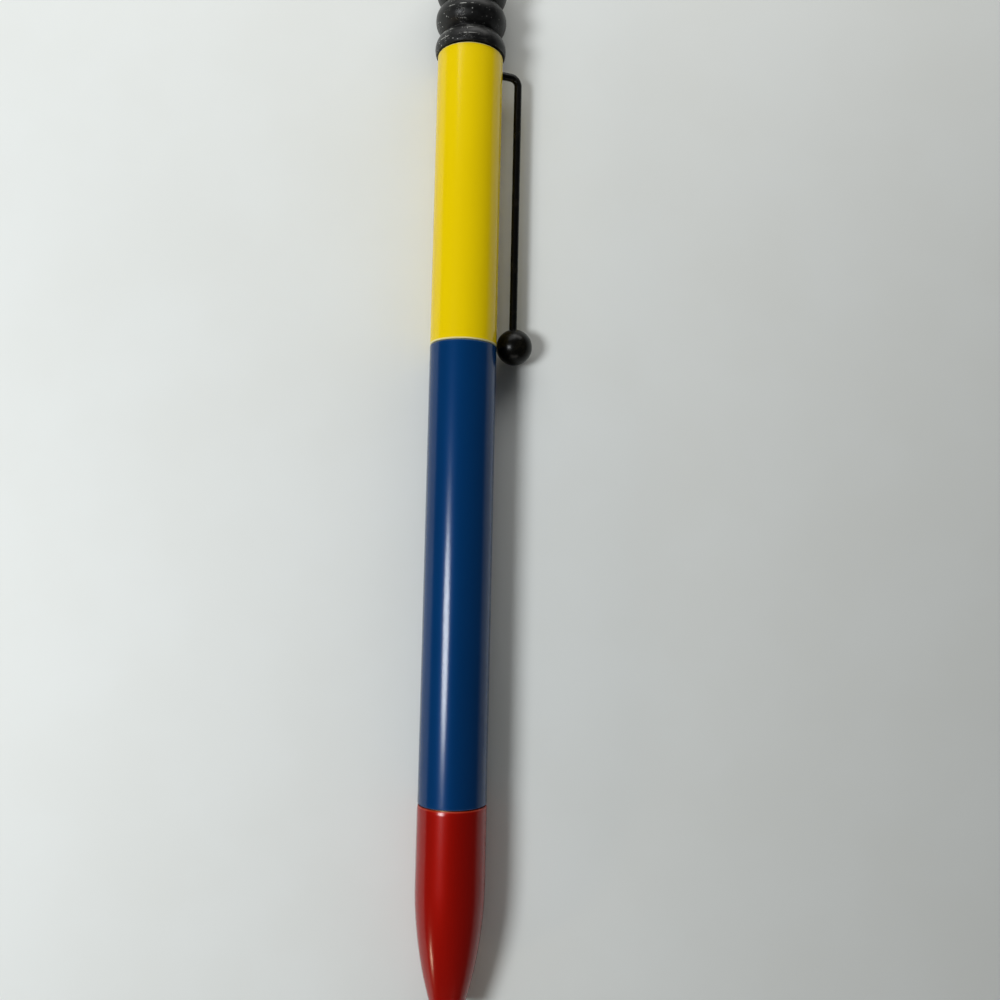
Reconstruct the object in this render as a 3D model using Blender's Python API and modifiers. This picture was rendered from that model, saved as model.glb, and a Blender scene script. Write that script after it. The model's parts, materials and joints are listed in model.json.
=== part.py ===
"""Twist ballpoint pen lying on a table, in metres.

The pen lies along Y with its knob towards +Y and its nose towards -Y, and the table is the plane z = 0.
Turned pieces are drawn as half sections: a radius, and a height above the nose rim along the pen.
Each section runs down its outer side, from the knob end to the nose end, and back up its bore.
"""

import math

import bmesh
import bpy

MM = 0.001

# Barrel tubes, from the photographed outline.
BARREL_DIAMETER = 8.5 * MM
BARREL_WALL = 0.5 * MM
BARREL_CHAMFER = 0.12 * MM
UPPER_BARREL_LENGTH = 38.3 * MM
LOWER_BARREL_LENGTH = 57.2 * MM

# Nose section: a parallel stretch, then a round curve down to the rim.
NOSE_DIAMETER = 8.6 * MM
NOSE_LENGTH = 24.9 * MM
NOSE_PARALLEL_LENGTH = 9.3 * MM
NOSE_RIM_DIAMETER = 3.4 * MM
NOSE_RIM_ROUNDING = 0.15 * MM
NOSE_SPRING_SEAT_HEIGHT = 5.8 * MM
NOSE_SPRING_SPACE = 0.35 * MM
NOSE_JOINT_DEPTH = 7.4 * MM
NOSE_JOINT_REACH = 6.0 * MM

# Knob: a moulded sleeve with round ribs over a turned core that ends in a flat cap.
RIB_COUNT = 4
RIB_PROUD = 0.35 * MM
RIB_PITCH = 3.92 * MM
RIB_GROOVE_DEPTH = 1.15 * MM
FIRST_RIB_HEIGHT = 0.9 * MM
KNOB_TOP_CUT = 1.5 * MM
KNOB_CORE_WALL = 0.3 * MM
KNOB_CAP_FLANGE = 0.8 * MM
KNOB_CAP_THICKNESS = 0.7 * MM
KNOB_CAP_CHAMFER = 0.2 * MM

# Refill: slim metal type. It fills the pen from nose to pusher, which comes to its usual 106.8 mm.
REFILL_DIAMETER = 3.0 * MM
REFILL_WALL = 0.25 * MM
REFILL_TIP_LENGTH = 15.2 * MM
REFILL_TIP_DIAMETER = 2.3 * MM
REFILL_TIP_FRONT_DIAMETER = 0.96 * MM
REFILL_TIP_CONE_LENGTH = 2.4 * MM
REFILL_TIP_SEAT_DEPTH = 3.2 * MM
REFILL_PLUG_HEAD = 1.1 * MM
REFILL_PLUG_DEPTH = 2.8 * MM
REFILL_VENT_DIAMETER = 0.6 * MM
INK_FOLLOWER_LENGTH = 3.0 * MM
REFILL_AIR_LENGTH = 9.0 * MM
WRITING_BALL_DIAMETER = 0.7 * MM
WRITING_BALL_SHOWING = 0.2 * MM
INK_CHANNEL_DIAMETER = 0.4 * MM
TIP_RECESS = 1.0 * MM

# Return spring round the refill's tip.
SPRING_WIRE_DIAMETER = 0.4 * MM
SPRING_TURNS = 9
SPRING_POINTS_PER_TURN = 10

# Twist mechanism.
REFILL_TRAVEL = 4.0 * MM
TWIST_ANGLE = math.pi
SLEEVE_WALL = 0.65 * MM
SLEEVE_START = 0.6 * MM
SLEEVE_KNOB_DEPTH = 5.0 * MM
HOUSING_WALL = 0.8 * MM
HOUSING_START = 1.8 * MM
PUSHER_BELOW_PIN = 8.55 * MM
RING_START = 1.05 * MM
RING_THICKNESS = 0.4 * MM
RING_WIDTH = 1.1 * MM
RING_MOUTH = 2.6 * MM
GROOVE_DEPTH = 0.3 * MM
FRICTION_RING_START = 2.5 * MM
FRICTION_RING_THICKNESS = 0.48 * MM
CROSS_PIN_DIAMETER = 0.9 * MM
CROSS_PIN_INSET = 0.25 * MM
CROSS_PIN_EDGE = 1.2 * MM
CAM_SLOT_DIAMETER = 1.5 * MM
CAM_POINTS = 15
CAM_EDGE = 1.3 * MM
CAM_SLOT_SIDE_GAP = 0.15 * MM
WASHER_THICKNESS = 0.3 * MM
COLLAR_HEIGHT = 1.9 * MM

# Threaded joint between the two barrels.
COUPLER_DEPTH = 9.0 * MM
THREAD_LENGTH = 8.8 * MM
COUPLER_BORE_GAP = 0.3 * MM
THREAD_INSERT_WALL = 0.35 * MM
COUPLER_LEAD_IN = 0.4 * MM

# Wire clip with a ball at its end.
CLIP_WIRE_DIAMETER = 1.0 * MM
CLIP_WIRE_INSET = 0.2 * MM
CLIP_BEND_RADIUS = 1.1 * MM
CLIP_BEND_STEPS = 6
CLIP_ROOT_BELOW_TOP = 1.5 * MM
CLIP_ROOT_INSET = 0.2 * MM
CLIP_BALL_DIAMETER = 4.7 * MM
CLIP_BALL_ABOVE_SEAM = 0.6 * MM
CLIP_BALL_SOCKET_DEPTH = 2.0 * MM

# Clearances.
SEAM_GAP = 0.1 * MM
PRESS_GAP = 0.1 * MM
RUNNING_GAP = 0.2 * MM
CONTACT_GAP = 0.1 * MM
BALL_GAP = 0.3 * MM
WIRE_HOLE_GAP = 0.15 * MM
WRITING_BALL_GAP = 0.04 * MM
SPRING_GAP = 0.1 * MM

# Smoothness of round pieces.
OUTER_SEGMENTS = 48
INNER_SEGMENTS = 32
SMALL_SEGMENTS = 24
PIN_SEGMENTS = 16
NOSE_CURVE_STEPS = 9
RIB_STEPS = 6
BALL_SEGMENTS = 24
BALL_RINGS = 12
SMOOTH_ANGLE = math.radians(35)
SCREW_MERGE = 0.001 * MM
CUT_MARGIN = 0.5 * MM

# Heights above the nose rim, and radii, worked out from the sizes above.
barrel_radius = BARREL_DIAMETER / 2
bore_radius = barrel_radius - BARREL_WALL
pressed_radius = bore_radius - PRESS_GAP
lower_barrel_start = NOSE_LENGTH + SEAM_GAP
lower_barrel_end = NOSE_LENGTH + LOWER_BARREL_LENGTH
upper_barrel_start = lower_barrel_end + SEAM_GAP
upper_barrel_end = lower_barrel_end + UPPER_BARREL_LENGTH

clip_height = upper_barrel_end - CLIP_ROOT_BELOW_TOP
collar_start = clip_height - COLLAR_HEIGHT / 2
collar_end = clip_height + COLLAR_HEIGHT / 2
washer_start = collar_end + CONTACT_GAP
core_start = washer_start + WASHER_THICKNESS + CONTACT_GAP
housing_end = collar_start - RUNNING_GAP
pin_height = housing_end - CAM_EDGE
pusher_end = pin_height + CROSS_PIN_EDGE
pusher_start = pin_height - PUSHER_BELOW_PIN
sleeve_start = pusher_start + SLEEVE_START
sleeve_end = core_start + SLEEVE_KNOB_DEPTH
housing_start = pusher_start + HOUSING_START
housing_bore = pressed_radius - HOUSING_WALL
sleeve_radius = housing_bore - RUNNING_GAP
sleeve_bore = sleeve_radius - SLEEVE_WALL
pusher_radius = sleeve_bore - RUNNING_GAP

rib_radius = barrel_radius + RIB_PROUD
core_radius = sleeve_radius + PRESS_GAP + KNOB_CORE_WALL
cap_radius = core_radius + KNOB_CAP_FLANGE
knob_start = upper_barrel_end + SEAM_GAP
first_rib = upper_barrel_end + FIRST_RIB_HEIGHT
knob_end = first_rib + (RIB_COUNT - 1) * RIB_PITCH + KNOB_TOP_CUT
cap_start = knob_end + CONTACT_GAP
pen_length = cap_start + KNOB_CAP_THICKNESS

refill_radius = REFILL_DIAMETER / 2
refill_bore = refill_radius - REFILL_WALL
refill_filling = refill_bore - PRESS_GAP
refill_end = pusher_start - CONTACT_GAP
plug_head_start = refill_end - REFILL_PLUG_HEAD
plug_start = plug_head_start - REFILL_PLUG_DEPTH
tip_radius = REFILL_TIP_DIAMETER / 2
tip_front = TIP_RECESS + WRITING_BALL_SHOWING
tube_start = TIP_RECESS + REFILL_TIP_LENGTH
tip_end = tube_start + REFILL_TIP_SEAT_DEPTH
writing_ball_radius = WRITING_BALL_DIAMETER / 2

spring_coil_radius = tip_radius + SPRING_GAP + SPRING_WIRE_DIAMETER / 2
spring_chamber_radius = spring_coil_radius + SPRING_WIRE_DIAMETER / 2 + NOSE_SPRING_SPACE
spring_start = NOSE_SPRING_SEAT_HEIGHT + SPRING_GAP
spring_end = tube_start - SPRING_GAP

clip_wire_radius = CLIP_WIRE_DIAMETER / 2
clip_ball_radius = CLIP_BALL_DIAMETER / 2
clip_ball_reach = barrel_radius + BALL_GAP + clip_ball_radius
clip_wire_reach = clip_ball_reach - CLIP_WIRE_INSET
clip_ball_height = lower_barrel_end + CLIP_BALL_ABOVE_SEAM
# The pen rests on its widest rib and on the clip's ball, so the clip points this far below level.
clip_angle = math.asin((rib_radius - clip_ball_radius) / clip_ball_reach)

# The pen's axis in the world: centred over the origin, with the widest rib on the table.
axis_x = (rib_radius - clip_ball_reach * math.cos(clip_angle) - clip_ball_radius) / 2
axis_z = rib_radius


def clear_scene():
    for item in list(bpy.data.objects):
        bpy.data.objects.remove(item, do_unlink=True)


def new_collection(name):
    collection = bpy.data.collections.new(name)
    bpy.context.scene.collection.children.link(collection)
    return collection


def new_material(name, colour, roughness, metallic=0.0):
    material = bpy.data.materials.new(name)
    material.use_nodes = True
    shader = material.node_tree.nodes["Principled BSDF"]
    shader.inputs["Base Color"].default_value = (*colour, 1.0)
    shader.inputs["Roughness"].default_value = roughness
    shader.inputs["Metallic"].default_value = metallic
    material.diffuse_color = (*colour, 1.0)
    return material


clear_scene()
pen = new_collection("twist_pen")
cutters = new_collection("twist_pen_cutters")

YELLOW = new_material("yellow_lacquer", (0.78, 0.60, 0.01), 0.30)
BLUE = new_material("blue_lacquer", (0.006, 0.035, 0.12), 0.28)
RED = new_material("red_lacquer", (0.27, 0.012, 0.006), 0.28)
BLACK_RUBBER = new_material("black_rubber", (0.012, 0.012, 0.012), 0.38)
BLACK_METAL = new_material("black_coated_metal", (0.015, 0.015, 0.015), 0.35)
BRASS = new_material("brass", (0.72, 0.52, 0.22), 0.30, 1.0)
STEEL = new_material("steel", (0.60, 0.60, 0.60), 0.28, 1.0)
WHITE_PLASTIC = new_material("white_plastic", (0.75, 0.75, 0.72), 0.45)
INK = new_material("ink", (0.01, 0.015, 0.10), 0.20)
GREASE = new_material("grease", (0.70, 0.66, 0.50), 0.30)
SEAL_RUBBER = new_material("seal_rubber", (0.02, 0.02, 0.02), 0.60)


def new_axis(name, location, parent=None):
    """An empty that carries pieces; it has no shape of its own."""
    empty = bpy.data.objects.new(name, None)
    pen.objects.link(empty)
    empty.location = location
    empty.parent = parent
    return empty


pen_axis = new_axis("pen_axis", (axis_x, -pen_length / 2, axis_z))
# Local +Z of this empty runs along the pen to its knob, and local +Y points down to the table.
pen_axis.rotation_euler = (-math.pi / 2, 0.0, 0.0)


def smooth(mesh):
    mesh.shade_smooth()
    mesh.set_sharp_from_angle(angle=SMOOTH_ANGLE)


def add_object(name, mesh, material, parent, location=(0.0, 0.0, 0.0)):
    piece = bpy.data.objects.new(name, mesh)
    pen.objects.link(piece)
    piece.parent = parent
    piece.location = location
    mesh.materials.append(material)
    return piece


def turned(name, section, material, segments, closed=True, parent=pen_axis):
    """A solid of revolution from a half section of (radius, height) points."""
    mesh = bpy.data.meshes.new(name)
    points = [(radius, 0.0, height) for radius, height in section]
    edges = [(index, index + 1) for index in range(len(points) - 1)]
    if closed:
        edges.append((len(points) - 1, 0))
    mesh.from_pydata(points, edges, [])
    piece = add_object(name, mesh, material, parent)
    screw = piece.modifiers.new("turning", "SCREW")
    screw.axis = "Z"
    screw.angle = 2 * math.pi
    screw.steps = segments
    screw.render_steps = segments
    screw.use_merge_vertices = True
    screw.merge_threshold = SCREW_MERGE
    screw.use_smooth_shade = True
    return piece


def tube_section(outer, inner, start, end, chamfer=0.0):
    """A plain tube; a chamfer takes the two outer edges off."""
    if not chamfer:
        return [(outer, end), (outer, start), (inner, start), (inner, end)]
    return [
        (outer - chamfer, end),
        (outer, end - chamfer),
        (outer, start + chamfer),
        (outer - chamfer, start),
        (inner, start),
        (inner, end),
    ]


def ball(name, radius, height, material, segments, rings, parent=pen_axis, place=(0.0, 0.0)):
    mesh = bpy.data.meshes.new(name)
    shape = bmesh.new()
    bmesh.ops.create_uvsphere(shape, u_segments=segments, v_segments=rings, radius=radius)
    shape.to_mesh(mesh)
    shape.free()
    smooth(mesh)
    return add_object(name, mesh, material, parent, (place[0], place[1], height))


def as_cutter(item):
    pen.objects.unlink(item)
    cutters.objects.link(item)
    item.hide_render = True
    item.display_type = "WIRE"
    return item


def cylinder_mesh(name, radius, length, segments):
    mesh = bpy.data.meshes.new(name)
    shape = bmesh.new()
    bmesh.ops.create_cone(
        shape, cap_ends=True, segments=segments, radius1=radius, radius2=radius, depth=length
    )
    shape.to_mesh(mesh)
    shape.free()
    return mesh


def box_cutter(name, size, height, middle=(0.0, 0.0), turn=0.0):
    mesh = bpy.data.meshes.new(name)
    shape = bmesh.new()
    bmesh.ops.create_cube(shape, size=1.0)
    bmesh.ops.scale(shape, vec=size, verts=shape.verts)
    shape.to_mesh(mesh)
    shape.free()
    cutter = add_object(name, mesh, STEEL, pen_axis, (middle[0], middle[1], height))
    cutter.rotation_euler = (0.0, 0.0, turn)
    return as_cutter(cutter)


def cut(piece, cutter):
    boolean = piece.modifiers.new(cutter.name, "BOOLEAN")
    boolean.operation = "DIFFERENCE"
    boolean.solver = "EXACT"
    boolean.object = cutter


def wire(name, points, diameter, material, parent, sides_setting):
    """A round wire along a list of points, with filled ends."""
    curve = bpy.data.curves.new(name, "CURVE")
    curve.dimensions = "3D"
    curve.bevel_depth = diameter / 2
    curve.bevel_resolution = sides_setting
    curve.use_fill_caps = True
    curve.materials.append(material)
    spline = curve.splines.new("POLY")
    spline.points.add(len(points) - 1)
    for point, place in zip(spline.points, points):
        point.co = (*place, 1.0)
    piece = bpy.data.objects.new(name, curve)
    pen.objects.link(piece)
    piece.parent = parent
    return piece


def meshed(item):
    """The same wire as a mesh, with its end caps joined on, so that it can cut."""
    bpy.context.view_layer.update()
    graph = bpy.context.evaluated_depsgraph_get()
    mesh = bpy.data.meshes.new_from_object(item.evaluated_get(graph))
    shape = bmesh.new()
    shape.from_mesh(mesh)
    bmesh.ops.remove_doubles(shape, verts=shape.verts, dist=SCREW_MERGE)
    shape.to_mesh(mesh)
    shape.free()
    piece = bpy.data.objects.new(item.name, mesh)
    pen.objects.link(piece)
    piece.matrix_world = item.matrix_world
    name = item.name
    bpy.data.objects.remove(item, do_unlink=True)
    piece.name = name
    return piece


# Barrel tubes.
def make_upper_barrel():
    section = tube_section(barrel_radius, bore_radius, upper_barrel_start, upper_barrel_end, BARREL_CHAMFER)
    return turned("upper_barrel", section, YELLOW, OUTER_SEGMENTS)


def make_lower_barrel():
    section = tube_section(barrel_radius, bore_radius, lower_barrel_start, lower_barrel_end, BARREL_CHAMFER)
    return turned("lower_barrel", section, BLUE, OUTER_SEGMENTS)


def nose_outline():
    """The nose's outer side from its seam to its rim: straight, then an arc that starts tangent to it."""
    radius = NOSE_DIAMETER / 2
    rim_radius = NOSE_RIM_DIAMETER / 2
    curve_start = NOSE_LENGTH - NOSE_PARALLEL_LENGTH
    drop = radius - rim_radius
    curve_radius = (curve_start**2 + drop**2) / (2 * drop)
    full_angle = math.asin(curve_start / curve_radius)
    points = [(radius - BARREL_CHAMFER, NOSE_LENGTH), (radius, NOSE_LENGTH - BARREL_CHAMFER)]
    for step in range(NOSE_CURVE_STEPS):
        angle = full_angle * step / NOSE_CURVE_STEPS
        inset = curve_radius * (1 - math.cos(angle))
        points.append((radius - inset, curve_start - curve_radius * math.sin(angle)))
    points.append((rim_radius, NOSE_RIM_ROUNDING))
    points.append((rim_radius - NOSE_RIM_ROUNDING, 0.0))
    return points


def make_nose_section():
    mouth = tip_radius + RUNNING_GAP
    joint_floor = NOSE_LENGTH - NOSE_JOINT_DEPTH
    section = nose_outline() + [
        (mouth, 0.0),
        (mouth, NOSE_SPRING_SEAT_HEIGHT),
        (spring_chamber_radius, NOSE_SPRING_SEAT_HEIGHT),
        (spring_chamber_radius, joint_floor),
        (bore_radius, joint_floor),
        (bore_radius, NOSE_LENGTH),
    ]
    return turned("nose_section", section, RED, OUTER_SEGMENTS)


def make_nose_joint_bush():
    start = NOSE_LENGTH - NOSE_JOINT_DEPTH + CONTACT_GAP
    end = NOSE_LENGTH + NOSE_JOINT_REACH
    section = tube_section(pressed_radius, spring_chamber_radius, start, end, COUPLER_LEAD_IN)
    return turned("nose_joint_bush", section, BRASS, INNER_SEGMENTS)


# Threaded joint between the barrels.
def make_barrel_coupler():
    bore = refill_radius + COUPLER_BORE_GAP
    thread_radius = pressed_radius - THREAD_INSERT_WALL - PRESS_GAP
    start = lower_barrel_end - THREAD_LENGTH
    end = upper_barrel_start + COUPLER_DEPTH
    section = [
        (pressed_radius - COUPLER_LEAD_IN, end),
        (pressed_radius, end - COUPLER_LEAD_IN),
        (pressed_radius, upper_barrel_start),
        (thread_radius, upper_barrel_start),
        (thread_radius, start + COUPLER_LEAD_IN),
        (thread_radius - COUPLER_LEAD_IN, start),
        (bore, start),
        (bore, end),
    ]
    return turned("barrel_coupler", section, BRASS, INNER_SEGMENTS)


def make_thread_insert():
    start = lower_barrel_end - THREAD_LENGTH
    end = lower_barrel_end - CONTACT_GAP
    section = tube_section(pressed_radius, pressed_radius - THREAD_INSERT_WALL, start, end)
    return turned("thread_insert", section, BRASS, OUTER_SEGMENTS)


# Knob.
def rib_outline():
    """The ribbed side from the knob's top face to its bottom face, one arc for each rib."""
    half_pitch = RIB_PITCH / 2
    arc_radius = (half_pitch**2 + RIB_GROOVE_DEPTH**2) / (2 * RIB_GROOVE_DEPTH)
    centre = rib_radius - arc_radius
    points = []
    for rib in reversed(range(RIB_COUNT)):
        height = first_rib + rib * RIB_PITCH
        upper = min(half_pitch, knob_end - height)
        lower = min(half_pitch, height - knob_start)
        high_angle = math.asin(upper / arc_radius)
        low_angle = -math.asin(lower / arc_radius)
        first_step = 0 if rib == RIB_COUNT - 1 else 1
        for step in range(first_step, RIB_STEPS + 1):
            angle = high_angle + (low_angle - high_angle) * step / RIB_STEPS
            points.append((centre + arc_radius * math.cos(angle), height + arc_radius * math.sin(angle)))
    return points


def make_ribbed_knob():
    bore = core_radius + PRESS_GAP
    section = rib_outline() + [(bore, knob_start), (bore, knob_end)]
    return turned("ribbed_knob", section, BLACK_RUBBER, OUTER_SEGMENTS)


def make_knob_core():
    socket = sleeve_radius + PRESS_GAP
    section = [
        (0.0, pen_length),
        (cap_radius - KNOB_CAP_CHAMFER, pen_length),
        (cap_radius, pen_length - KNOB_CAP_CHAMFER),
        (cap_radius, cap_start),
        (core_radius, cap_start),
        (core_radius, core_start),
        (socket, core_start),
        (socket, sleeve_end + CONTACT_GAP),
        (0.0, sleeve_end + CONTACT_GAP),
    ]
    return turned("knob_core", section, BLACK_METAL, OUTER_SEGMENTS, closed=False)


# Twist mechanism.
def make_drive_sleeve():
    groove = sleeve_radius - GROOVE_DEPTH
    ring_start = pusher_start + RING_START
    friction_start = pusher_start + FRICTION_RING_START
    section = [
        (sleeve_radius, sleeve_end),
        (sleeve_radius, friction_start + FRICTION_RING_THICKNESS + CONTACT_GAP),
        (groove, friction_start + FRICTION_RING_THICKNESS + CONTACT_GAP),
        (groove, friction_start - CONTACT_GAP),
        (sleeve_radius, friction_start - CONTACT_GAP),
        (sleeve_radius, ring_start + RING_THICKNESS + CONTACT_GAP),
        (groove, ring_start + RING_THICKNESS + CONTACT_GAP),
        (groove, ring_start - CONTACT_GAP),
        (sleeve_radius, ring_start - CONTACT_GAP),
        (sleeve_radius, sleeve_start),
        (sleeve_bore, sleeve_start),
        (sleeve_bore, sleeve_end),
    ]
    piece = turned("drive_sleeve", section, BRASS, INNER_SEGMENTS)
    slot_reach = CROSS_PIN_DIAMETER / 2 + CAM_SLOT_SIDE_GAP
    size = (
        2 * (sleeve_radius + CUT_MARGIN),
        2 * slot_reach,
        REFILL_TRAVEL + 2 * slot_reach,
    )
    cut(piece, box_cutter("sleeve_slot_cutter", size, pin_height - REFILL_TRAVEL / 2))
    return piece


def make_friction_ring():
    """A rubber ring in the sleeve's groove that gives the knob its even drag."""
    tube_radius = FRICTION_RING_THICKNESS / 2
    inner = sleeve_radius - GROOVE_DEPTH
    middle = (inner + housing_bore) / 2
    height = pusher_start + FRICTION_RING_START + tube_radius
    sides = 8
    section = []
    for side in range(sides):
        angle = -2 * math.pi * side / sides
        section.append((middle + tube_radius * math.cos(angle), height + tube_radius * math.sin(angle)))
    return turned("friction_ring", section, SEAL_RUBBER, SMALL_SEGMENTS)


def make_retaining_ring():
    start = pusher_start + RING_START
    inner = sleeve_radius - GROOVE_DEPTH + CONTACT_GAP / 2
    section = tube_section(inner + RING_WIDTH, inner, start, start + RING_THICKNESS)
    piece = turned("retaining_ring", section, STEEL, INNER_SEGMENTS)
    size = (inner + RING_WIDTH + CUT_MARGIN, RING_MOUTH, RING_THICKNESS + CUT_MARGIN)
    middle = (size[0] / 2, 0.0)
    cut(piece, box_cutter("ring_mouth_cutter", size, start + RING_THICKNESS / 2, middle))
    return piece


def cam_path(start_angle):
    """The cross pin's helix through the housing wall, from just past its rest place to just past its lowest."""
    middle = (housing_bore + pressed_radius) / 2
    overrun = (CROSS_PIN_DIAMETER / 2 + CAM_SLOT_SIDE_GAP) / middle / TWIST_ANGLE
    points = []
    for step in range(CAM_POINTS):
        share = (1 + 2 * overrun) * step / (CAM_POINTS - 1) - overrun
        angle = start_angle + TWIST_ANGLE * share
        height = pin_height - REFILL_TRAVEL * share
        points.append((middle * math.cos(angle), middle * math.sin(angle), height))
    return points


def make_mechanism_housing():
    section = tube_section(pressed_radius, housing_bore, housing_start, housing_end)
    piece = turned("mechanism_housing", section, BRASS, INNER_SEGMENTS)
    for number, start_angle in enumerate((0.0, math.pi)):
        name = f"cam_slot_cutter_{number + 1}"
        path = wire(name, cam_path(start_angle), CAM_SLOT_DIAMETER, STEEL, pen_axis, 2)
        cut(piece, as_cutter(meshed(path)))
    return piece


def make_pusher():
    section = [
        (0.0, pusher_end),
        (pusher_radius, pusher_end),
        (pusher_radius, pusher_start),
        (0.0, pusher_start),
    ]
    piece = turned("pusher", section, WHITE_PLASTIC, SMALL_SEGMENTS, closed=False)
    mesh = cylinder_mesh(
        "pusher_hole_cutter",
        CROSS_PIN_DIAMETER / 2 + PRESS_GAP,
        2 * (pusher_radius + CUT_MARGIN),
        PIN_SEGMENTS,
    )
    hole = add_object("pusher_hole_cutter", mesh, STEEL, pen_axis, (0.0, 0.0, pin_height))
    hole.rotation_euler = (0.0, math.pi / 2, 0.0)
    cut(piece, as_cutter(hole))
    return piece


def make_cross_pin():
    length = 2 * (pressed_radius - CROSS_PIN_INSET)
    mesh = cylinder_mesh("cross_pin", CROSS_PIN_DIAMETER / 2, length, PIN_SEGMENTS)
    smooth(mesh)
    piece = add_object("cross_pin", mesh, STEEL, pen_axis, (0.0, 0.0, pin_height))
    piece.rotation_euler = (0.0, math.pi / 2, 0.0)
    return piece


def make_thrust_washer():
    washer_end = washer_start + WASHER_THICKNESS
    section = tube_section(pressed_radius, sleeve_radius + RUNNING_GAP, washer_start, washer_end)
    return turned("thrust_washer", section, WHITE_PLASTIC, INNER_SEGMENTS)


# Refill.
def make_refill_tube():
    section = tube_section(refill_radius, refill_bore, tube_start, plug_head_start - CONTACT_GAP)
    return turned("refill_tube", section, STEEL, SMALL_SEGMENTS)


def make_refill_tip():
    socket = writing_ball_radius + WRITING_BALL_GAP
    socket_floor = TIP_RECESS + WRITING_BALL_DIAMETER + WRITING_BALL_GAP
    channel = INK_CHANNEL_DIAMETER / 2
    section = [
        (refill_filling, tip_end),
        (refill_filling, tube_start),
        (tip_radius, tube_start - CONTACT_GAP),
        (tip_radius, tip_front + REFILL_TIP_CONE_LENGTH),
        (REFILL_TIP_FRONT_DIAMETER / 2, tip_front),
        (socket, tip_front),
        (socket, socket_floor),
        (channel, socket_floor),
        (channel, tip_end),
    ]
    return turned("refill_tip", section, BRASS, SMALL_SEGMENTS)


def make_writing_ball():
    height = TIP_RECESS + writing_ball_radius
    return ball("writing_ball", writing_ball_radius, height, STEEL, PIN_SEGMENTS, BALL_RINGS)


def make_ink():
    follower_end = plug_start - REFILL_AIR_LENGTH
    follower_start = follower_end - INK_FOLLOWER_LENGTH
    start = tip_end + CONTACT_GAP
    end = follower_start - CONTACT_GAP
    column = [(0.0, end), (refill_filling, end), (refill_filling, start), (0.0, start)]
    turned("ink_column", column, INK, SMALL_SEGMENTS, closed=False)
    follower = [
        (0.0, follower_end),
        (refill_filling, follower_end),
        (refill_filling, follower_start),
        (0.0, follower_start),
    ]
    turned("ink_follower", follower, GREASE, SMALL_SEGMENTS, closed=False)


def make_refill_plug():
    vent = REFILL_VENT_DIAMETER / 2
    section = [
        (refill_radius, refill_end),
        (refill_radius, plug_head_start),
        (refill_filling, plug_head_start),
        (refill_filling, plug_start),
        (vent, plug_start),
        (vent, refill_end),
    ]
    return turned("refill_plug", section, WHITE_PLASTIC, SMALL_SEGMENTS)


def make_return_spring():
    """One helix: whole turns at an even pitch between the nose's seat and the refill's shoulder."""
    wire_radius = SPRING_WIRE_DIAMETER / 2
    count = SPRING_TURNS * SPRING_POINTS_PER_TURN
    low = spring_start + wire_radius
    high = spring_end - wire_radius
    points = []
    for step in range(count + 1):
        angle = 2 * math.pi * step / SPRING_POINTS_PER_TURN
        height = low + (high - low) * step / count
        points.append((spring_coil_radius * math.cos(angle), spring_coil_radius * math.sin(angle), height))
    pitch = (high - low) / SPRING_TURNS
    print(f"return_spring least gap between turns: {(pitch - SPRING_WIRE_DIAMETER) / MM:.2f} mm")
    return wire("return_spring", points, SPRING_WIRE_DIAMETER, STEEL, pen_axis, 1)


# Clip.
def on_clip_side(reach, height):
    """A point this far from the pen's axis on the side that the clip is on."""
    return (reach * math.cos(clip_angle), reach * math.sin(clip_angle), height)


clip_root = new_axis("clip_root", on_clip_side(bore_radius, clip_height), pen_axis)


def from_clip_root(reach, height):
    root = on_clip_side(bore_radius, clip_height)
    return tuple(value - base for value, base in zip(on_clip_side(reach, height), root))


def make_clip_wire():
    """Out through the barrel wall, round a small bend, and along the barrel into the ball."""
    housing_wall_start = housing_bore + CLIP_ROOT_INSET
    points = [from_clip_root(housing_wall_start, clip_height)]
    bend_reach = clip_wire_reach - CLIP_BEND_RADIUS
    bend_height = clip_height - CLIP_BEND_RADIUS
    for step in range(CLIP_BEND_STEPS + 1):
        angle = math.pi / 2 * (1 - step / CLIP_BEND_STEPS)
        reach = bend_reach + CLIP_BEND_RADIUS * math.cos(angle)
        height = bend_height + CLIP_BEND_RADIUS * math.sin(angle)
        points.append(from_clip_root(reach, height))
    wire_end = clip_ball_height + clip_ball_radius - CLIP_BALL_SOCKET_DEPTH + CONTACT_GAP
    points.append(from_clip_root(clip_wire_reach, wire_end))
    return wire("clip_wire", points, CLIP_WIRE_DIAMETER, BLACK_METAL, clip_root, 2)


def make_clip_ball():
    x, y, height = from_clip_root(clip_ball_reach, clip_ball_height)
    piece = ball(
        "clip_ball", clip_ball_radius, height, BLACK_METAL, BALL_SEGMENTS, BALL_RINGS, clip_root, (x, y)
    )
    depth = CLIP_BALL_SOCKET_DEPTH + CUT_MARGIN
    mesh = cylinder_mesh("ball_socket_cutter", clip_wire_radius + PRESS_GAP, depth, PIN_SEGMENTS)
    floor = clip_ball_height + clip_ball_radius - CLIP_BALL_SOCKET_DEPTH
    place = from_clip_root(clip_wire_reach, floor + depth / 2)
    cut(piece, as_cutter(add_object("ball_socket_cutter", mesh, STEEL, clip_root, place)))
    return piece


def make_clip_hole(name, piece):
    """A round hole across the wall of a tube, where the clip's wire passes."""
    length = BARREL_DIAMETER
    mesh = cylinder_mesh(name, clip_wire_radius + WIRE_HOLE_GAP, length, PIN_SEGMENTS)
    hole = add_object(name, mesh, STEEL, pen_axis, on_clip_side(length / 2 + CUT_MARGIN, clip_height))
    hole.rotation_euler = (0.0, math.pi / 2, clip_angle)
    cut(piece, as_cutter(hole))


def make_clip_collar():
    section = tube_section(pressed_radius, housing_bore, collar_start, collar_end)
    piece = turned("clip_collar", section, BRASS, OUTER_SEGMENTS)
    make_clip_hole("collar_hole_cutter", piece)
    return piece


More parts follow.
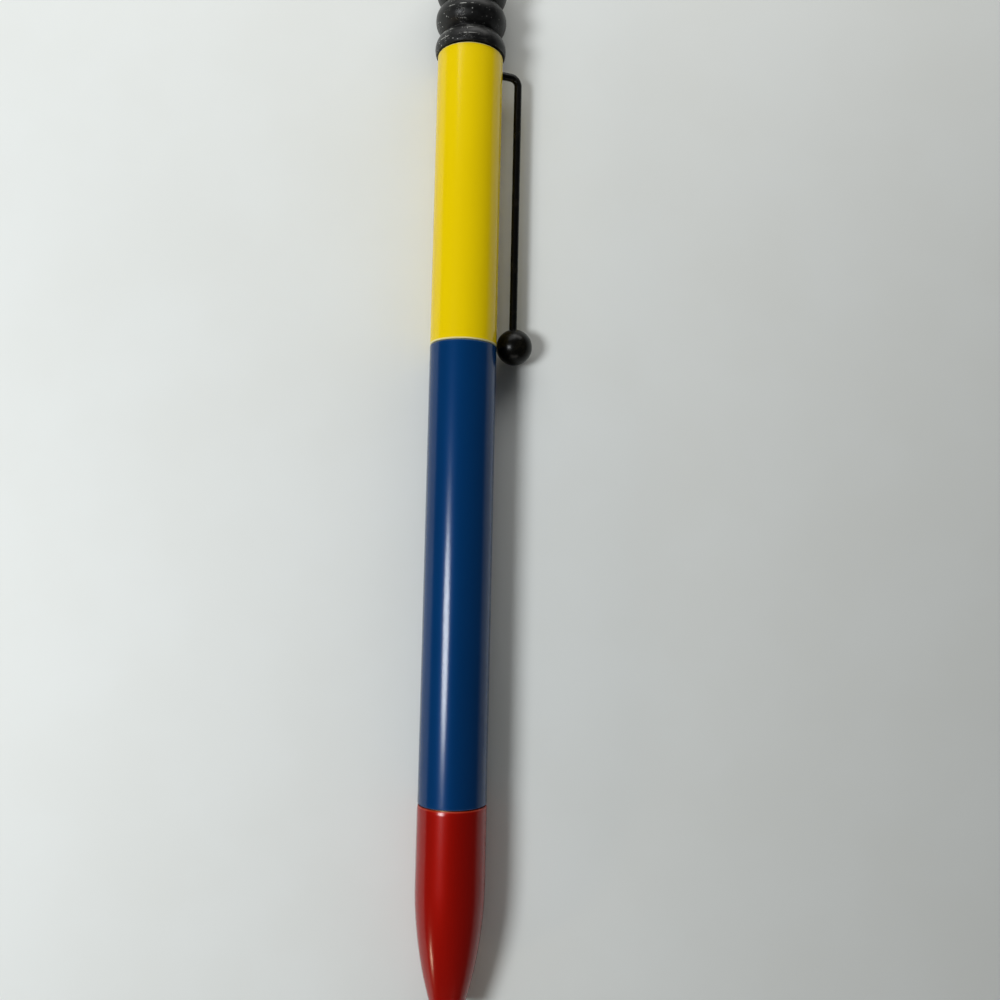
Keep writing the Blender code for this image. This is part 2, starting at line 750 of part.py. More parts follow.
make_clip_hole("barrel_hole_cutter", make_upper_barrel())
make_lower_barrel()
make_nose_section()
make_nose_joint_bush()
make_barrel_coupler()
make_thread_insert()
make_ribbed_knob()
make_knob_core()
make_drive_sleeve()
make_friction_ring()
make_retaining_ring()
make_mechanism_housing()
make_pusher()
make_cross_pin()
make_thrust_washer()
make_clip_collar()
make_refill_tube()
make_refill_tip()
make_writing_ball()
make_ink()
make_refill_plug()
make_return_spring()
make_clip_wire()
make_clip_ball()
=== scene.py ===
"""Dresses the twist pen in fine surfaces and finishes, on a plain pale table in a soft studio light."""

import json
import math

import bpy
import numpy as np
from mathutils import Matrix, Vector


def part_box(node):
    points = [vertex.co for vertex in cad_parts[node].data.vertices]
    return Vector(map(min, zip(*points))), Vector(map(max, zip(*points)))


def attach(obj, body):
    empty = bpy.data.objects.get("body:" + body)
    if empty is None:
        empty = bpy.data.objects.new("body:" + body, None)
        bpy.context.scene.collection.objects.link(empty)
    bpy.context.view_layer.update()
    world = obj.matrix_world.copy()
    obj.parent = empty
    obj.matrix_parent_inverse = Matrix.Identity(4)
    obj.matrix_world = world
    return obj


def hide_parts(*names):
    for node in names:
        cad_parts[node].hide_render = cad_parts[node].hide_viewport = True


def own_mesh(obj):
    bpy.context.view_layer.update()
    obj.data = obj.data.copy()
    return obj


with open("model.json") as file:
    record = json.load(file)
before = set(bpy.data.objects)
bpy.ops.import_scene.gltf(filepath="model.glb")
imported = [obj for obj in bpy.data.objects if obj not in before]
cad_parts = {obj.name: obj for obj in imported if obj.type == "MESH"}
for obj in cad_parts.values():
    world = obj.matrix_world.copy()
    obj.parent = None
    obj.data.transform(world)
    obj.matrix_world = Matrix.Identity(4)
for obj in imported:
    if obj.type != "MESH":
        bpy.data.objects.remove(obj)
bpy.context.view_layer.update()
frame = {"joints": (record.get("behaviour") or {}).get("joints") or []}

# ---- Camera
# A wide camera held about 13 cm above the table, over the middle of the pen, and tipped a little towards
# its knob. The pen is longer than the picture, so the knob's end and the nose's rim lie just outside it.
MM = 0.001

camera_data = bpy.data.cameras.new("camera")
camera_data.sensor_width = 36.0
camera_data.lens = 35.505
camera_data.clip_start = 5 * MM
camera = bpy.data.objects.new("camera", camera_data)
camera.location = (3.181 * MM, -15.101 * MM, 128.606 * MM)
camera.rotation_euler = (0.0804, 0.0, 0.0214)
bpy.context.scene.collection.objects.link(camera)
bpy.context.scene.camera = camera
bpy.context.scene.view_settings.view_transform = "Standard"


# ---- Table
# A white laminate table top, far larger than the picture, with a very faint mottle and a soft sheen.
def new_material(name):
    """An empty node material with a Principled shader; returns the material, its node tree and the shader."""
    material = bpy.data.materials.new(name)
    material.use_nodes = True
    tree = material.node_tree
    return material, tree, tree.nodes["Principled BSDF"]


def set_shader(shader, **values):
    """Writes plain values on the shader's own sockets; an underscore in a name stands for a space."""
    for name, value in values.items():
        shader.inputs[name.replace("_", " ")].default_value = value


def join(tree, source, target):
    """Links a socket to the target, or writes a plain value on it."""
    if isinstance(source, bpy.types.NodeSocket):
        tree.links.new(source, target)
    else:
        target.default_value = source


def noise_of(tree, vector, scale, detail=2.0, roughness=0.5):
    """A noise texture read at the given vector, from 0 to 1."""
    node = tree.nodes.new("ShaderNodeTexNoise")
    for name, side in (("Vector", vector), ("Scale", scale), ("Detail", detail), ("Roughness", roughness)):
        join(tree, side, node.inputs[name])
    return node.outputs["Fac"]


def remap(tree, value, from_low, from_high, to_low=0.0, to_high=1.0):
    """Stretches a range of values to another range, easing in and out, and holds it at both ends."""
    node = tree.nodes.new("ShaderNodeMapRange")
    node.interpolation_type = "SMOOTHSTEP"
    sides = (value, from_low, from_high, to_low, to_high)
    for name, side in zip(("Value", "From Min", "From Max", "To Min", "To Max"), sides):
        join(tree, side, node.inputs[name])
    return node.outputs["Result"]


def math_of(tree, operation, first, second=0.0):
    """One Math node; either side may be a socket or a number."""
    node = tree.nodes.new("ShaderNodeMath")
    node.operation = operation
    join(tree, first, node.inputs[0])
    join(tree, second, node.inputs[1])
    return node.outputs["Value"]


def vector_of(tree, operation, first, second=(0.0, 0.0, 0.0)):
    """One Vector Math node; returns its sockets Vector and Value."""
    node = tree.nodes.new("ShaderNodeVectorMath")
    node.operation = operation
    join(tree, first, node.inputs[0])
    join(tree, second, node.inputs[1])
    return node.outputs


def mix_of(tree, share, first, second):
    """Mixes two colours; each side may be a socket or a plain colour."""
    node = tree.nodes.new("ShaderNodeMix")
    node.data_type = "RGBA"
    join(tree, share, node.inputs["Factor"])
    for slot, side in zip(node.inputs[6:8], (first, second)):
        join(tree, (*side, 1.0) if isinstance(side, tuple) else side, slot)
    return node.outputs[2]


def object_place(tree, stretch=(1.0, 1.0, 1.0)):
    """Object coordinates, stretched along each axis."""
    place = tree.nodes.new("ShaderNodeTexCoord").outputs["Object"]
    return vector_of(tree, "MULTIPLY", place, stretch)["Vector"]


TABLE_SIZE = 6.0
TABLE_WHITE = (0.74, 0.76, 0.745)
TABLE_SHADE = (0.725, 0.742, 0.722)
MOTTLE_SCALE = 60.0
BACKDROP = (0.736, 0.768, 0.80)
FADE_START, FADE_END = 0.12, 0.30
BLACK = (0.0, 0.0, 0.0)

laminate, tree, shader = new_material("white_laminate")
set_shader(shader, Roughness=0.55, Specular_IOR_Level=0.3, Emission_Strength=1.0)
mottle = remap(tree, noise_of(tree, object_place(tree), MOTTLE_SCALE, 3.0), 0.3, 0.7)
table_colour = mix_of(tree, mottle, TABLE_WHITE, TABLE_SHADE)

# Far from the pen the table passes into the backdrop: there it shows the backdrop's own colour, unlit.
ray = tree.nodes.new("ShaderNodeLightPath").outputs
seen = math_of(tree, "MAXIMUM", ray["Is Camera Ray"], ray["Is Transmission Ray"])
distance = vector_of(tree, "LENGTH", object_place(tree))["Value"]
far = math_of(tree, "MULTIPLY", remap(tree, distance, FADE_START, FADE_END), seen)
join(tree, mix_of(tree, far, table_colour, BLACK), shader.inputs["Base Color"])
join(tree, mix_of(tree, far, BLACK, BACKDROP), shader.inputs["Emission Color"])

half = TABLE_SIZE / 2
corners = [(-half, -half, 0), (half, -half, 0), (half, half, 0), (-half, half, 0)]
table_mesh = bpy.data.meshes.new("table_top")
table_mesh.from_pydata(corners, [], [(0, 1, 2, 3)])
table_mesh.materials.append(laminate)
table_top = bpy.data.objects.new("table_top", table_mesh)
bpy.context.scene.collection.objects.link(table_top)


# ---- Studio light
# A compact oval lamp close on the left faces down and a little outwards. It draws the narrow streak down the
# lacquer and the shadow's soft edge. Two soft boxes beyond the knob and a low one beyond the nose fill the
# shadows, and a small warm lamp, low beyond the nose, catches its curve and the rims.
def area_lamp(name, direction, distance, faces, size, radiance, colour, shape="RECTANGLE"):
    """A flat lamp that hangs in a direction from the pen and faces the way given.

    size is its level side and its other side, both in metres. Its power is pi times area times radiance.
    """
    lamp = bpy.data.lights.new(name, "AREA")
    lamp.shape = shape
    lamp.size, lamp.size_y = size
    area = size[0] * size[1] * (math.pi / 4 if shape == "ELLIPSE" else 1.0)
    lamp.energy = math.pi * area * radiance
    lamp.color = colour
    item = bpy.data.objects.new(name, lamp)
    item.location = Vector(direction).normalized() * distance
    back = -Vector(faces).normalized()
    level = Vector((0.0, 0.0, 1.0)).cross(back).normalized()
    item.rotation_euler = Matrix((level, back.cross(level), back)).transposed().to_euler()
    item.visible_camera = False
    bpy.context.scene.collection.objects.link(item)


area_lamp(
    "main_lamp",
    direction=(-0.555, -0.120, 0.823),
    distance=0.35,
    faces=(-0.26, 0.0, -0.966),
    size=(0.096, 0.165),
    radiance=28.5,
    colour=(0.97, 1.0, 1.02),
    shape="ELLIPSE",
)
# Lamps that face the pen's middle: name, direction, distance, size, radiance and colour.
for name, direction, distance, size, radiance, colour in (
    ("head_left_box", (-0.20, 0.83, 0.50), 0.24, (0.18, 0.13), 2.5, (1.0, 1.0, 0.99)),
    ("head_right_box", (0.25, 0.90, 0.35), 0.26, (0.18, 0.10), 3.6, (1.0, 0.99, 0.95)),
    ("foot_low_box", (0.05, -0.95, 0.30), 0.50, (0.35, 0.12), 2.2, (1.0, 0.97, 0.9)),
    ("nose_lamp", (-0.718, -0.633, 0.265), 0.60, (0.05, 0.05), 30.0, (1.0, 0.80, 0.55)),
):
    area_lamp(name, direction, distance, [-part for part in direction], size, radiance, colour)

# The backdrop is pale to the eye and dim to the light, so that it doesn't whiten the lacquer.
ROOM_COLOUR = (0.92, 0.96, 1.0, 1.0)
ROOM_LIGHT = 0.03
ROOM_IN_GLOSS = 0.06
ROOM_SEEN = 0.80

world = bpy.data.worlds.new("studio")
world.use_nodes = True
tree = world.node_tree
room = tree.nodes["Background"]
room.inputs["Color"].default_value = ROOM_COLOUR
ray = tree.nodes.new("ShaderNodeLightPath").outputs
seen = math_of(tree, "MAXIMUM", ray["Is Camera Ray"], ray["Is Transmission Ray"])
seen = math_of(tree, "MULTIPLY", seen, ROOM_SEEN)
seen = math_of(tree, "MAXIMUM", math_of(tree, "MULTIPLY", ray["Is Glossy Ray"], ROOM_IN_GLOSS), seen)
join(tree, math_of(tree, "MAXIMUM", seen, ROOM_LIGHT), room.inputs["Strength"])
bpy.context.scene.world = world


# ---- Upper barrel
# The yellow tube: drawn brass, lacquered in opaque gloss yellow, with both edges turned to a small chamfer.
# It carries the clip collar, the twist mechanism and the coupler, which are pressed in.
barrel_low, barrel_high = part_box("upper_barrel")
PEN_X = (barrel_low.x + barrel_high.x) / 2
PEN_Z = (barrel_low.z + barrel_high.z) / 2
BARREL_RADIUS = (barrel_high.z - barrel_low.z) / 2
BORE_RADIUS = 3.75 * MM
BARREL_CHAMFER = 0.12 * MM
EDGE_ROUNDING = 0.03 * MM
LEAST_ROUNDING = 0.004 * MM
RUN_IN = 0.04 * MM
EDGE_STEPS = 5
ROUND_SIDES = 160
SHARP_ANGLE = math.radians(32)
AXIS = np.array([PEN_X, 0.0, PEN_Z])
ACROSS, ALONG, UP = np.eye(3)


def rounded_line(corners, roundings, closed=True):
    """Straight runs between (radius, y) corners, each corner rounded by an arc of its own radius.

    An arc touches both runs at its radius over the tangent of half the corner's angle from the corner.
    Each run also gets a point just past every arc, so that smooth shading stays inside the rounded edge.
    """
    corner = np.array(corners, float)
    radius = np.broadcast_to(np.array(roundings, float), len(corner)).copy()
    before, after = np.roll(corner, 1, 0) - corner, np.roll(corner, -1, 0) - corner
    if not closed:
        before[0], after[-1] = -after[0], -before[-1]
    reach_before, reach_after = np.linalg.norm(before, axis=1), np.linalg.norm(after, axis=1)
    before, after = before / reach_before[:, None], after / reach_after[:, None]
    half_angle = 0.5 * np.arccos(np.clip((before * after).sum(1), -1, 1))
    radius = np.maximum(radius, LEAST_ROUNDING)
    if not closed:
        radius[[0, -1]] = 0.0
    away = radius / np.tan(half_angle)
    turn = np.maximum(math.pi - 2 * half_angle, 1e-6)
    middle = before + after
    middle /= np.maximum(np.linalg.norm(middle, axis=1), 1e-9)[:, None]
    centre = corner + middle * (radius / np.sin(half_angle))[:, None]
    start, end = before * away[:, None] + corner - centre, after * away[:, None] + corner - centre
    share = np.linspace(0, 1, EDGE_STEPS)[None, :, None]
    turn = turn[:, None, None]
    arc = (np.sin((1 - share) * turn) * start[:, None] + np.sin(share * turn) * end[:, None]) / np.sin(turn)
    arc += centre[:, None]
    lead = np.minimum(RUN_IN, 0.25 * np.minimum(reach_before, reach_after))
    line = np.concatenate([
        (corner + before * (away + lead)[:, None])[:, None],
        arc,
        (corner + after * (away + lead)[:, None])[:, None],
    ], axis=1)
    if not closed:
        return np.concatenate([corner[:1], line[1:-1].reshape(-1, 2), corner[-1:]])
    return line.reshape(-1, 2)


def grid_faces(rows, columns, wrap_rows):
    """Quads between neighbouring rows and columns of a grid of points; the columns go round and meet."""
    row = np.arange(rows if wrap_rows else rows - 1)[:, None]
    column = np.arange(columns)[None, :]
    next_row, next_column = (row + 1) % rows, (column + 1) % columns
    corners = [row * columns + column, row * columns + next_column]
    corners += [next_row * columns + next_column, next_row * columns + column]
    return np.stack(corners, -1).reshape(-1, 4)


def capped_faces(rows, columns):
    """A grid's faces, and a fan at each end to the two pole points that follow the grid's own points."""
    column = np.arange(columns)
    following = (column + 1) % columns
    end_row = (rows - 1) * columns
    pole = np.full(columns, rows * columns)
    first_fan = np.stack([pole, following, column], -1)
    last_fan = np.stack([pole + 1, end_row + column, end_row + following], -1)
    return [grid_faces(rows, columns, False), first_fan, last_fan]


def round_angles(count):
    """The angles of points evenly round a circle."""
    return np.arange(count) * 2 * math.pi / count


def finish_mesh(name, points, faces, material):
    """Makes the object from its points and faces, and turns the faces round if they all point inwards."""
    points = np.asarray(points, float)
    faces = [np.asarray(face, int) for face in faces]
    middle = points.mean(0)
    volume = 0.0
    for group in faces:
        for last in range(2, group.shape[1]):
            corner = points[group[:, [0, last - 1, last]]] - middle
            volume += np.linalg.det(corner).sum()
    if volume < 0:
        faces = [group[:, ::-1] for group in faces]
    mesh = bpy.data.meshes.new(name)
    mesh.from_pydata(points.tolist(), [], [tuple(face) for group in faces for face in group.tolist()])
    mesh.shade_smooth()
    mesh.set_sharp_from_angle(angle=SHARP_ANGLE)
    mesh.materials.append(material)
    piece = bpy.data.objects.new(name, mesh)
    bpy.context.scene.collection.objects.link(piece)
    return piece


def turned(name, line, material, sides=ROUND_SIDES, closed=True, wave=None):
    """A solid of revolution round the pen's axis: each (radius, y) point of the line goes round in a ring.

    A closed line makes a ring-shaped body; an open one starts and ends on the axis, in one point each.
    wave(angle, y, radius) may give a change of radius for every point.
    """
    angle = round_angles(sides)
    rings = line if closed else line[1:-1]
    radius = np.repeat(rings[:, :1], sides, 1)
    y = np.repeat(rings[:, 1:], sides, 1)
    if wave is not None:
        radius = radius + wave(angle[None, :], y, radius)
    points = np.stack([PEN_X + radius * np.cos(angle), y, PEN_Z + radius * np.sin(angle)], -1).reshape(-1, 3)
    if closed:
        return finish_mesh(name, points, [grid_faces(len(rings), sides, True)], material)
    poles = [[PEN_X, line[0, 1], PEN_Z], [PEN_X, line[-1, 1], PEN_Z]]
    return finish_mesh(name, np.concatenate([points, poles]), capped_faces(len(rings), sides), material)


def new_group(name, inputs, outputs):
    """An empty shader node group: sockets named Colour are colours, those named Stretch vectors."""
    group = bpy.data.node_groups.new(name, "ShaderNodeTree")
    for labels, side in ((inputs, "INPUT"), (outputs, "OUTPUT")):
        for label in labels:
            kind = "Color" if "Colour" in label else "Vector" if "Stretch" in label else "Float"
            group.interface.new_socket(name=label, in_out=side, socket_type="NodeSocket" + kind)
    return group, group.nodes.new("NodeGroupInput").outputs, group.nodes.new("NodeGroupOutput").inputs


def finished(name, finish, settings, bump_depth, **values):
    """A material whose colour, roughness, top coat and bump come from a finish group with values of its own.

    settings go on the shader itself. An underscore in a name stands for a space.
    """
    material, tree, shader = new_material(name)
    set_shader(shader, **settings)
    node = tree.nodes.new("ShaderNodeGroup")
    node.node_tree = finish
    for label, value in values.items():
        node.inputs[label.replace("_", " ")].default_value = (*value, 1.0) if "Colour" in label else value
    for label, target in (("Colour", "Base Color"), ("Roughness", "Roughness"), ("Top Coat", "Coat Weight")):
        if label in node.outputs:
            join(tree, node.outputs[label], shader.inputs[target])
    bump = tree.nodes.new("ShaderNodeBump")
    bump.inputs["Strength"].default_value = 1.0
    bump.inputs["Distance"].default_value = bump_depth
    join(tree, node.outputs["Height"], bump.inputs["Height"])
    join(tree, bump.outputs["Normal"], shader.inputs["Normal"])
    return material


def product(tree, first, *others):
    """All the sides multiplied together."""
    for other in others:
        first = math_of(tree, "MULTIPLY", first, other)
    return first


def gap_of(tree, first, second):
    """How far two values lie apart."""
    return math_of(tree, "ABSOLUTE", math_of(tree, "SUBTRACT", first, second))


def parts_of(tree, vector):
    """The sockets X, Y and Z of a vector."""
    node = tree.nodes.new("ShaderNodeSeparateXYZ")
    join(tree, vector, node.inputs["Vector"])
    return node.outputs


def specks(tree, place, scale, edge, chosen):
    """Round grains in the chosen cells of a Voronoi pattern; edge says where a grain begins and is full."""
    cell = tree.nodes.new("ShaderNodeTexVoronoi")
    join(tree, scale, cell.inputs["Scale"])
    join(tree, place, cell.inputs["Vector"])
    split = tree.nodes.new("ShaderNodeSeparateColor")
    join(tree, cell.outputs["Color"], split.inputs["Color"])
    grain = remap(tree, cell.outputs["Distance"], *edge)
    return product(tree, grain, remap(tree, split.outputs["Red"], *chosen))


def make_lacquer_finish():
    """Sprayed lacquer: a faint drift of shade, small nicks in the clear top coat and a few dust grains.

    A narrow band at both ends of the tube is painted pale: a painted highlight along the chamfered rims.
    """
    inputs = ["Colour", "Thin Colour", "Edge Colour", "Low End", "High End", "Dust"]
    group, given, made = new_group("lacquer_finish", inputs, ["Colour", "Roughness", "Top Coat", "Height"])
    place = object_place(group)
    along = object_place(group, (1.0, 0.22, 1.0))
    drift = remap(group, noise_of(group, along, 190.0, 3.0), 0.32, 0.68)
    peel = noise_of(group, place, 1500.0, 2.0, 0.55)
    worn = remap(group, noise_of(group, along, 420.0), 0.46, 0.66)
    nick = remap(group, noise_of(group, place, 7000.0, 2.0, 0.6), 0.53, 0.66)
    dust = product(group, specks(group, place, 900.0, (0.14, 0.06), (0.985, 0.99)), given["Dust"])
    y = parts_of(group, place)["Y"]
    ends = [gap_of(group, y, given[end]) for end in ("Low End", "High End")]
    # Painted highlight: the pale rim colour laid in a narrow band at both ends of the tube.
    edge = remap(group, math_of(group, "MINIMUM", *ends), RIM_HIGHLIGHT_BAND, 0.3 * RIM_HIGHLIGHT_BAND)
    shaded = mix_of(group, drift, given["Colour"], given["Thin Colour"])
    edged = mix_of(group, edge, shaded, given["Edge Colour"])
    join(group, mix_of(group, dust, edged, (0.55, 0.55, 0.52)), made["Colour"])
    join(group, math_of(group, "ADD", remap(group, peel, 0.2, 0.8, 0.46, 0.54), dust), made["Roughness"])
    lost = math_of(group, "ADD", product(group, nick, remap(group, worn, 0.0, 1.0, 0.25, 0.75)), dust)
    join(group, math_of(group, "SUBTRACT", 1.0, lost), made["Top Coat"])
    join(group, math_of(group, "ADD", peel, product(group, dust, 3.0)), made["Height"])
    return group


UM = 0.000001
RIM_HIGHLIGHT_BAND = 0.22 * MM
lacquer_finish = make_lacquer_finish()


def lacquer(name, colours, node, dust, metallic):
    """Tinted lacquer over bright metal under a clear top coat.

    colours are its full, thin and painted rim highlight colour; metallic is the share of light that comes
    back off the metal.
    """
    low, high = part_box(node)
    full, thin, edge = colours
    settings = {"Metallic": metallic, "Specular_IOR_Level": 0.0, "Coat_Roughness": 0.18, "Coat_IOR": 1.39}
    values = {"Colour": full, "Thin_Colour": thin, "Edge_Colour": edge, "Dust": dust}
    return finished(name, lacquer_finish, settings, 2 * UM, Low_End=low.y, High_End=high.y, **values)


def tube_line(outer, inner, start, end, chamfer, rounding):
    """A tube's outline, with both outer edges chamfered and every edge a little rounded."""
    corners = [(outer - chamfer, end), (outer, end - chamfer), (outer, start + chamfer)]
    corners += [(outer - chamfer, start), (inner, start), (inner, end)]
    return rounded_line(corners, rounding)


def with_more_points(line, start, end, step):
    """Adds points between two y values on every run of the outline, so that the grid is fine there."""
    length = np.concatenate([[0], np.cumsum(np.linalg.norm(np.diff(line, axis=0), axis=1))])
    fine = np.arange(0, length[-1], step)
    y = np.interp(fine, length, line[:, 1])
    fine = fine[(y > start) & (y < end)]
    places = np.unique(np.concatenate([length, fine]))
    return np.stack([np.interp(places, length, line[:, 0]), np.interp(places, length, line[:, 1])], -1)


# Full, thin and painted rim highlight colour.
YELLOWS = ((0.83, 0.60, 0.0), (0.81, 0.58, 0.0), (0.95, 0.86, 0.42))
yellow_lacquer = lacquer("yellow_lacquer", YELLOWS, "upper_barrel", 0.6, 0.0)

root_joint = next(joint for joint in frame["joints"] if joint["name"] == "clip_flex")
CLIP_Y = root_joint["pos_m"][1]
CLIP_ANGLE = math.atan2(PEN_Z - root_joint["pos_m"][2], root_joint["pos_m"][0] - PEN_X)
CLIP_OUT = np.array([math.cos(CLIP_ANGLE), 0.0, -math.sin(CLIP_ANGLE)])
WIRE_HOLE_RADIUS = 0.6 * MM
HOLE_SIDES = 48
HOLE_REGION = 1.5 * MM
HOLE_STEP = 0.15 * MM
OVERCUT = 1 * MM

line = tube_line(BARREL_RADIUS, BORE_RADIUS, barrel_low.y, barrel_high.y, BARREL_CHAMFER, EDGE_ROUNDING)
line = with_more_points(line, CLIP_Y - HOLE_REGION, CLIP_Y + HOLE_REGION, HOLE_STEP)
upper_barrel = turned("yellow_upper_barrel", line, yellow_lacquer)


def cut_away(piece, cutter):
    """Takes the cutter's volume out of a piece, keeps the cut mesh and removes the cutter."""
    cut = piece.modifiers.new("cut", "BOOLEAN")
    cut.operation, cut.solver, cut.object = "DIFFERENCE", "EXACT", cutter
    graph = bpy.context.evaluated_depsgraph_get()
    cut_mesh = bpy.data.meshes.new_from_object(piece.evaluated_get(graph))
    piece.modifiers.clear()
    piece.data = cut_mesh
    bpy.data.objects.remove(cutter)
    cut_mesh.set_sharp_from_angle(angle=SHARP_ANGLE)


def cut_bar(piece, outline, start, end):
    """Cuts a straight bar out of a piece; its closed outline is given as offsets from its middle line."""
    count = len(outline)
    side = np.arange(count)
    following = (side + 1) % count
    walls = np.stack([side, following, following + count, side + count], -1)
    ends = [side[None, :], side[None, ::-1] + count]
    points = np.concatenate([start + outline, end + outline])
    cut_away(piece, finish_mesh("bar_cutter", points, [walls, *ends], piece.data.materials[0]))


def wire_hole(reach_from, reach_to):
    """The outline, start and end of the round hole that the clip's wire passes, on the clip's side."""
    angle = round_angles(HOLE_SIDES)[:, None]
    across = np.array([math.sin(CLIP_ANGLE), 0.0, math.cos(CLIP_ANGLE)])
    centre = AXIS + CLIP_Y * ALONG
    outline = WIRE_HOLE_RADIUS * (np.cos(angle) * across + np.sin(angle) * ALONG)
    return outline, centre + CLIP_OUT * reach_from, centre + CLIP_OUT * reach_to


cut_bar(upper_barrel, *wire_hole(BORE_RADIUS - OVERCUT, BARREL_RADIUS + OVERCUT))
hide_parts("upper_barrel")
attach(upper_barrel, "upper_barrel")


# ---- Barrel coupler
# A turned brass bush, pressed into the yellow tube's lower end.
# Its outer half stands out below the tube and carries the fine thread that the lower barrel screws on to.
def make_machined_finish():
    """Machined metal: fine tool lines, and a slow drift between bright and dull.

    Line Stretch squeezes the place before the noise is read, so that the lines run out along the small side.
    """
    inputs = ["Colour", "Dull Colour", "Line Stretch"]
    group, given, made = new_group("machined_finish", inputs, ["Colour", "Roughness", "Height"])
    lines = noise_of(group, object_place(group, given["Line Stretch"]), 11000.0, 3.0, 0.6)
    drift = remap(group, noise_of(group, object_place(group), 420.0, 4.0, 0.6), 0.38, 0.66)
    join(group, mix_of(group, drift, given["Colour"], given["Dull Colour"]), made["Colour"])
    rough = remap(group, lines, 0.3, 0.7, 0.27, 0.38)
    join(group, math_of(group, "ADD", rough, remap(group, drift, 0.0, 1.0, 0.0, 0.06)), made["Roughness"])
    join(group, lines, made["Height"])
    return group


machined_finish = make_machined_finish()


def machined(name, bright, dull, line_stretch):
    """Bare metal with tool lines; a small number in line_stretch draws the lines out in that direction."""
    values = {"Colour": bright, "Dull_Colour": dull, "Line_Stretch": line_stretch}
    return finished(name, machined_finish, {"Metallic": 1.0}, 2 * UM, **values)


def extent(node):
    """A turned node's lowest y, its highest y and its radius."""
    low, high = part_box(node)
    return low.y, high.y, (high.z - low.z) / 2


def thread(crest, start, end, pitch, depth, fade):
    """A helical thread on the wall at the crest radius, for turned().

    The radius changes by depth times (1 - cos(2 pi turn)) / 2, where turn is y / pitch less the angle's share
    of a full circle. The change fades out towards both ends.
    """

    def wave(angle, y, radius):
        turn = y / pitch - angle / (2 * math.pi)
        groove = np.clip(0.7 - 0.9 * np.cos(2 * math.pi * turn), 0.0, 1.0)
        share = np.clip(np.minimum(y - start, end - y) / fade, 0.0, 1.0)
        on_wall = np.abs(radius - crest) < WALL_MARGIN
        return np.where(on_wall, depth * groove * share, 0.0)

    return wave


turned_brass = machined("turned_brass", (0.82, 0.62, 0.30), (0.70, 0.51, 0.23), (0.03, 1.0, 0.03))
THREAD_PITCH = 0.5 * MM
THREAD_DEPTH = 0.22 * MM
THREAD_FADE = 0.6 * MM
THREAD_STEP = 0.05 * MM
THREAD_CREST = 3.2 * MM
COUPLER_BORE = 1.8 * MM
LEAD_IN = 0.4 * MM
THREAD_RUN_OUT = 0.5 * MM
FINE_EDGE = 0.04 * MM
WALL_MARGIN = 0.02 * MM
INNER_SIDES = 96

coupler_start, coupler_end, coupler_radius = extent("barrel_coupler")
line = rounded_line(
    [
        (coupler_radius - LEAD_IN, coupler_end),
        (coupler_radius, coupler_end - LEAD_IN),
        (coupler_radius, barrel_low.y),
        (THREAD_CREST, barrel_low.y),
        (THREAD_CREST, coupler_start + LEAD_IN),
        (THREAD_CREST - LEAD_IN, coupler_start),
        (COUPLER_BORE, coupler_start),
        (COUPLER_BORE, coupler_end),
    ],
    FINE_EDGE,
)
line = with_more_points(line, coupler_start, barrel_low.y, THREAD_STEP)
start, end = coupler_start + LEAD_IN, barrel_low.y - THREAD_RUN_OUT
cut_thread = thread(THREAD_CREST, start, end, THREAD_PITCH, -THREAD_DEPTH, THREAD_FADE)
barrel_coupler = turned("threaded_coupler", line, turned_brass, INNER_SIDES, wave=cut_thread)
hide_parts("barrel_coupler")
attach(barrel_coupler, "upper_barrel")


# ---- Clip collar and thrust washer
# The collar is a turned brass ring, pressed in just under the knob. The clip's root is fixed in its cross
# hole, and the knob's core runs on the white moulded washer that lies on it.
SLEEVE_CLEARANCE = 2.85 * MM
COLLAR_CHAMFER = 0.15 * MM
WASHER_CHAMFER = 0.05 * MM
SMALL_EDGE = 0.02 * MM

collar_start, collar_end, collar_radius = extent("clip_collar")
line = tube_line(collar_radius, SLEEVE_CLEARANCE, collar_start, collar_end, COLLAR_CHAMFER, FINE_EDGE)
clip_collar = turned("clip_collar_ring", line, turned_brass, INNER_SIDES)
cut_bar(clip_collar, *wire_hole(SLEEVE_CLEARANCE - OVERCUT, collar_radius + OVERCUT))
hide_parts("clip_collar")
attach(clip_collar, "upper_barrel")


def make_moulded_finish():
    """Moulded or filled soft stuff: a faint flow mottle, and a fine grain that roughens it."""
    inputs = ["Colour", "Shade Colour", "Smoothest", "Roughest"]
    group, given, made = new_group("moulded_finish", inputs, ["Colour", "Roughness", "Height"])
    flow = remap(group, noise_of(group, object_place(group, (1.0, 0.4, 1.0)), 500.0, 3.0), 0.35, 0.65)
    grain = noise_of(group, object_place(group), 8000.0)
    join(group, mix_of(group, flow, given["Colour"], given["Shade Colour"]), made["Colour"])
    join(group, remap(group, grain, 0.3, 0.7, given["Smoothest"], given["Roughest"]), made["Roughness"])
    join(group, grain, made["Height"])
    return group


moulded_finish = make_moulded_finish()


def moulded(name, colour, shade_colour, smooth, rough, depth):
    """Plastic, ink or grease: smooth and rough are the ends of its roughness, depth is its grain's height."""
    values = {"Colour": colour, "Shade_Colour": shade_colour, "Smoothest": smooth, "Roughest": rough}
    return finished(name, moulded_finish, {}, depth, **values)


white_plastic = moulded("white_plastic", (0.76, 0.76, 0.71), (0.70, 0.70, 0.64), 0.32, 0.48, 3 * UM)
washer_start, washer_end, washer_radius = extent("thrust_washer")
line = tube_line(washer_radius, SLEEVE_CLEARANCE, washer_start, washer_end, WASHER_CHAMFER, SMALL_EDGE)
thrust_washer = turned("thrust_washer_ring", line, white_plastic, INNER_SIDES)
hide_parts("thrust_washer")
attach(thrust_washer, "upper_barrel")


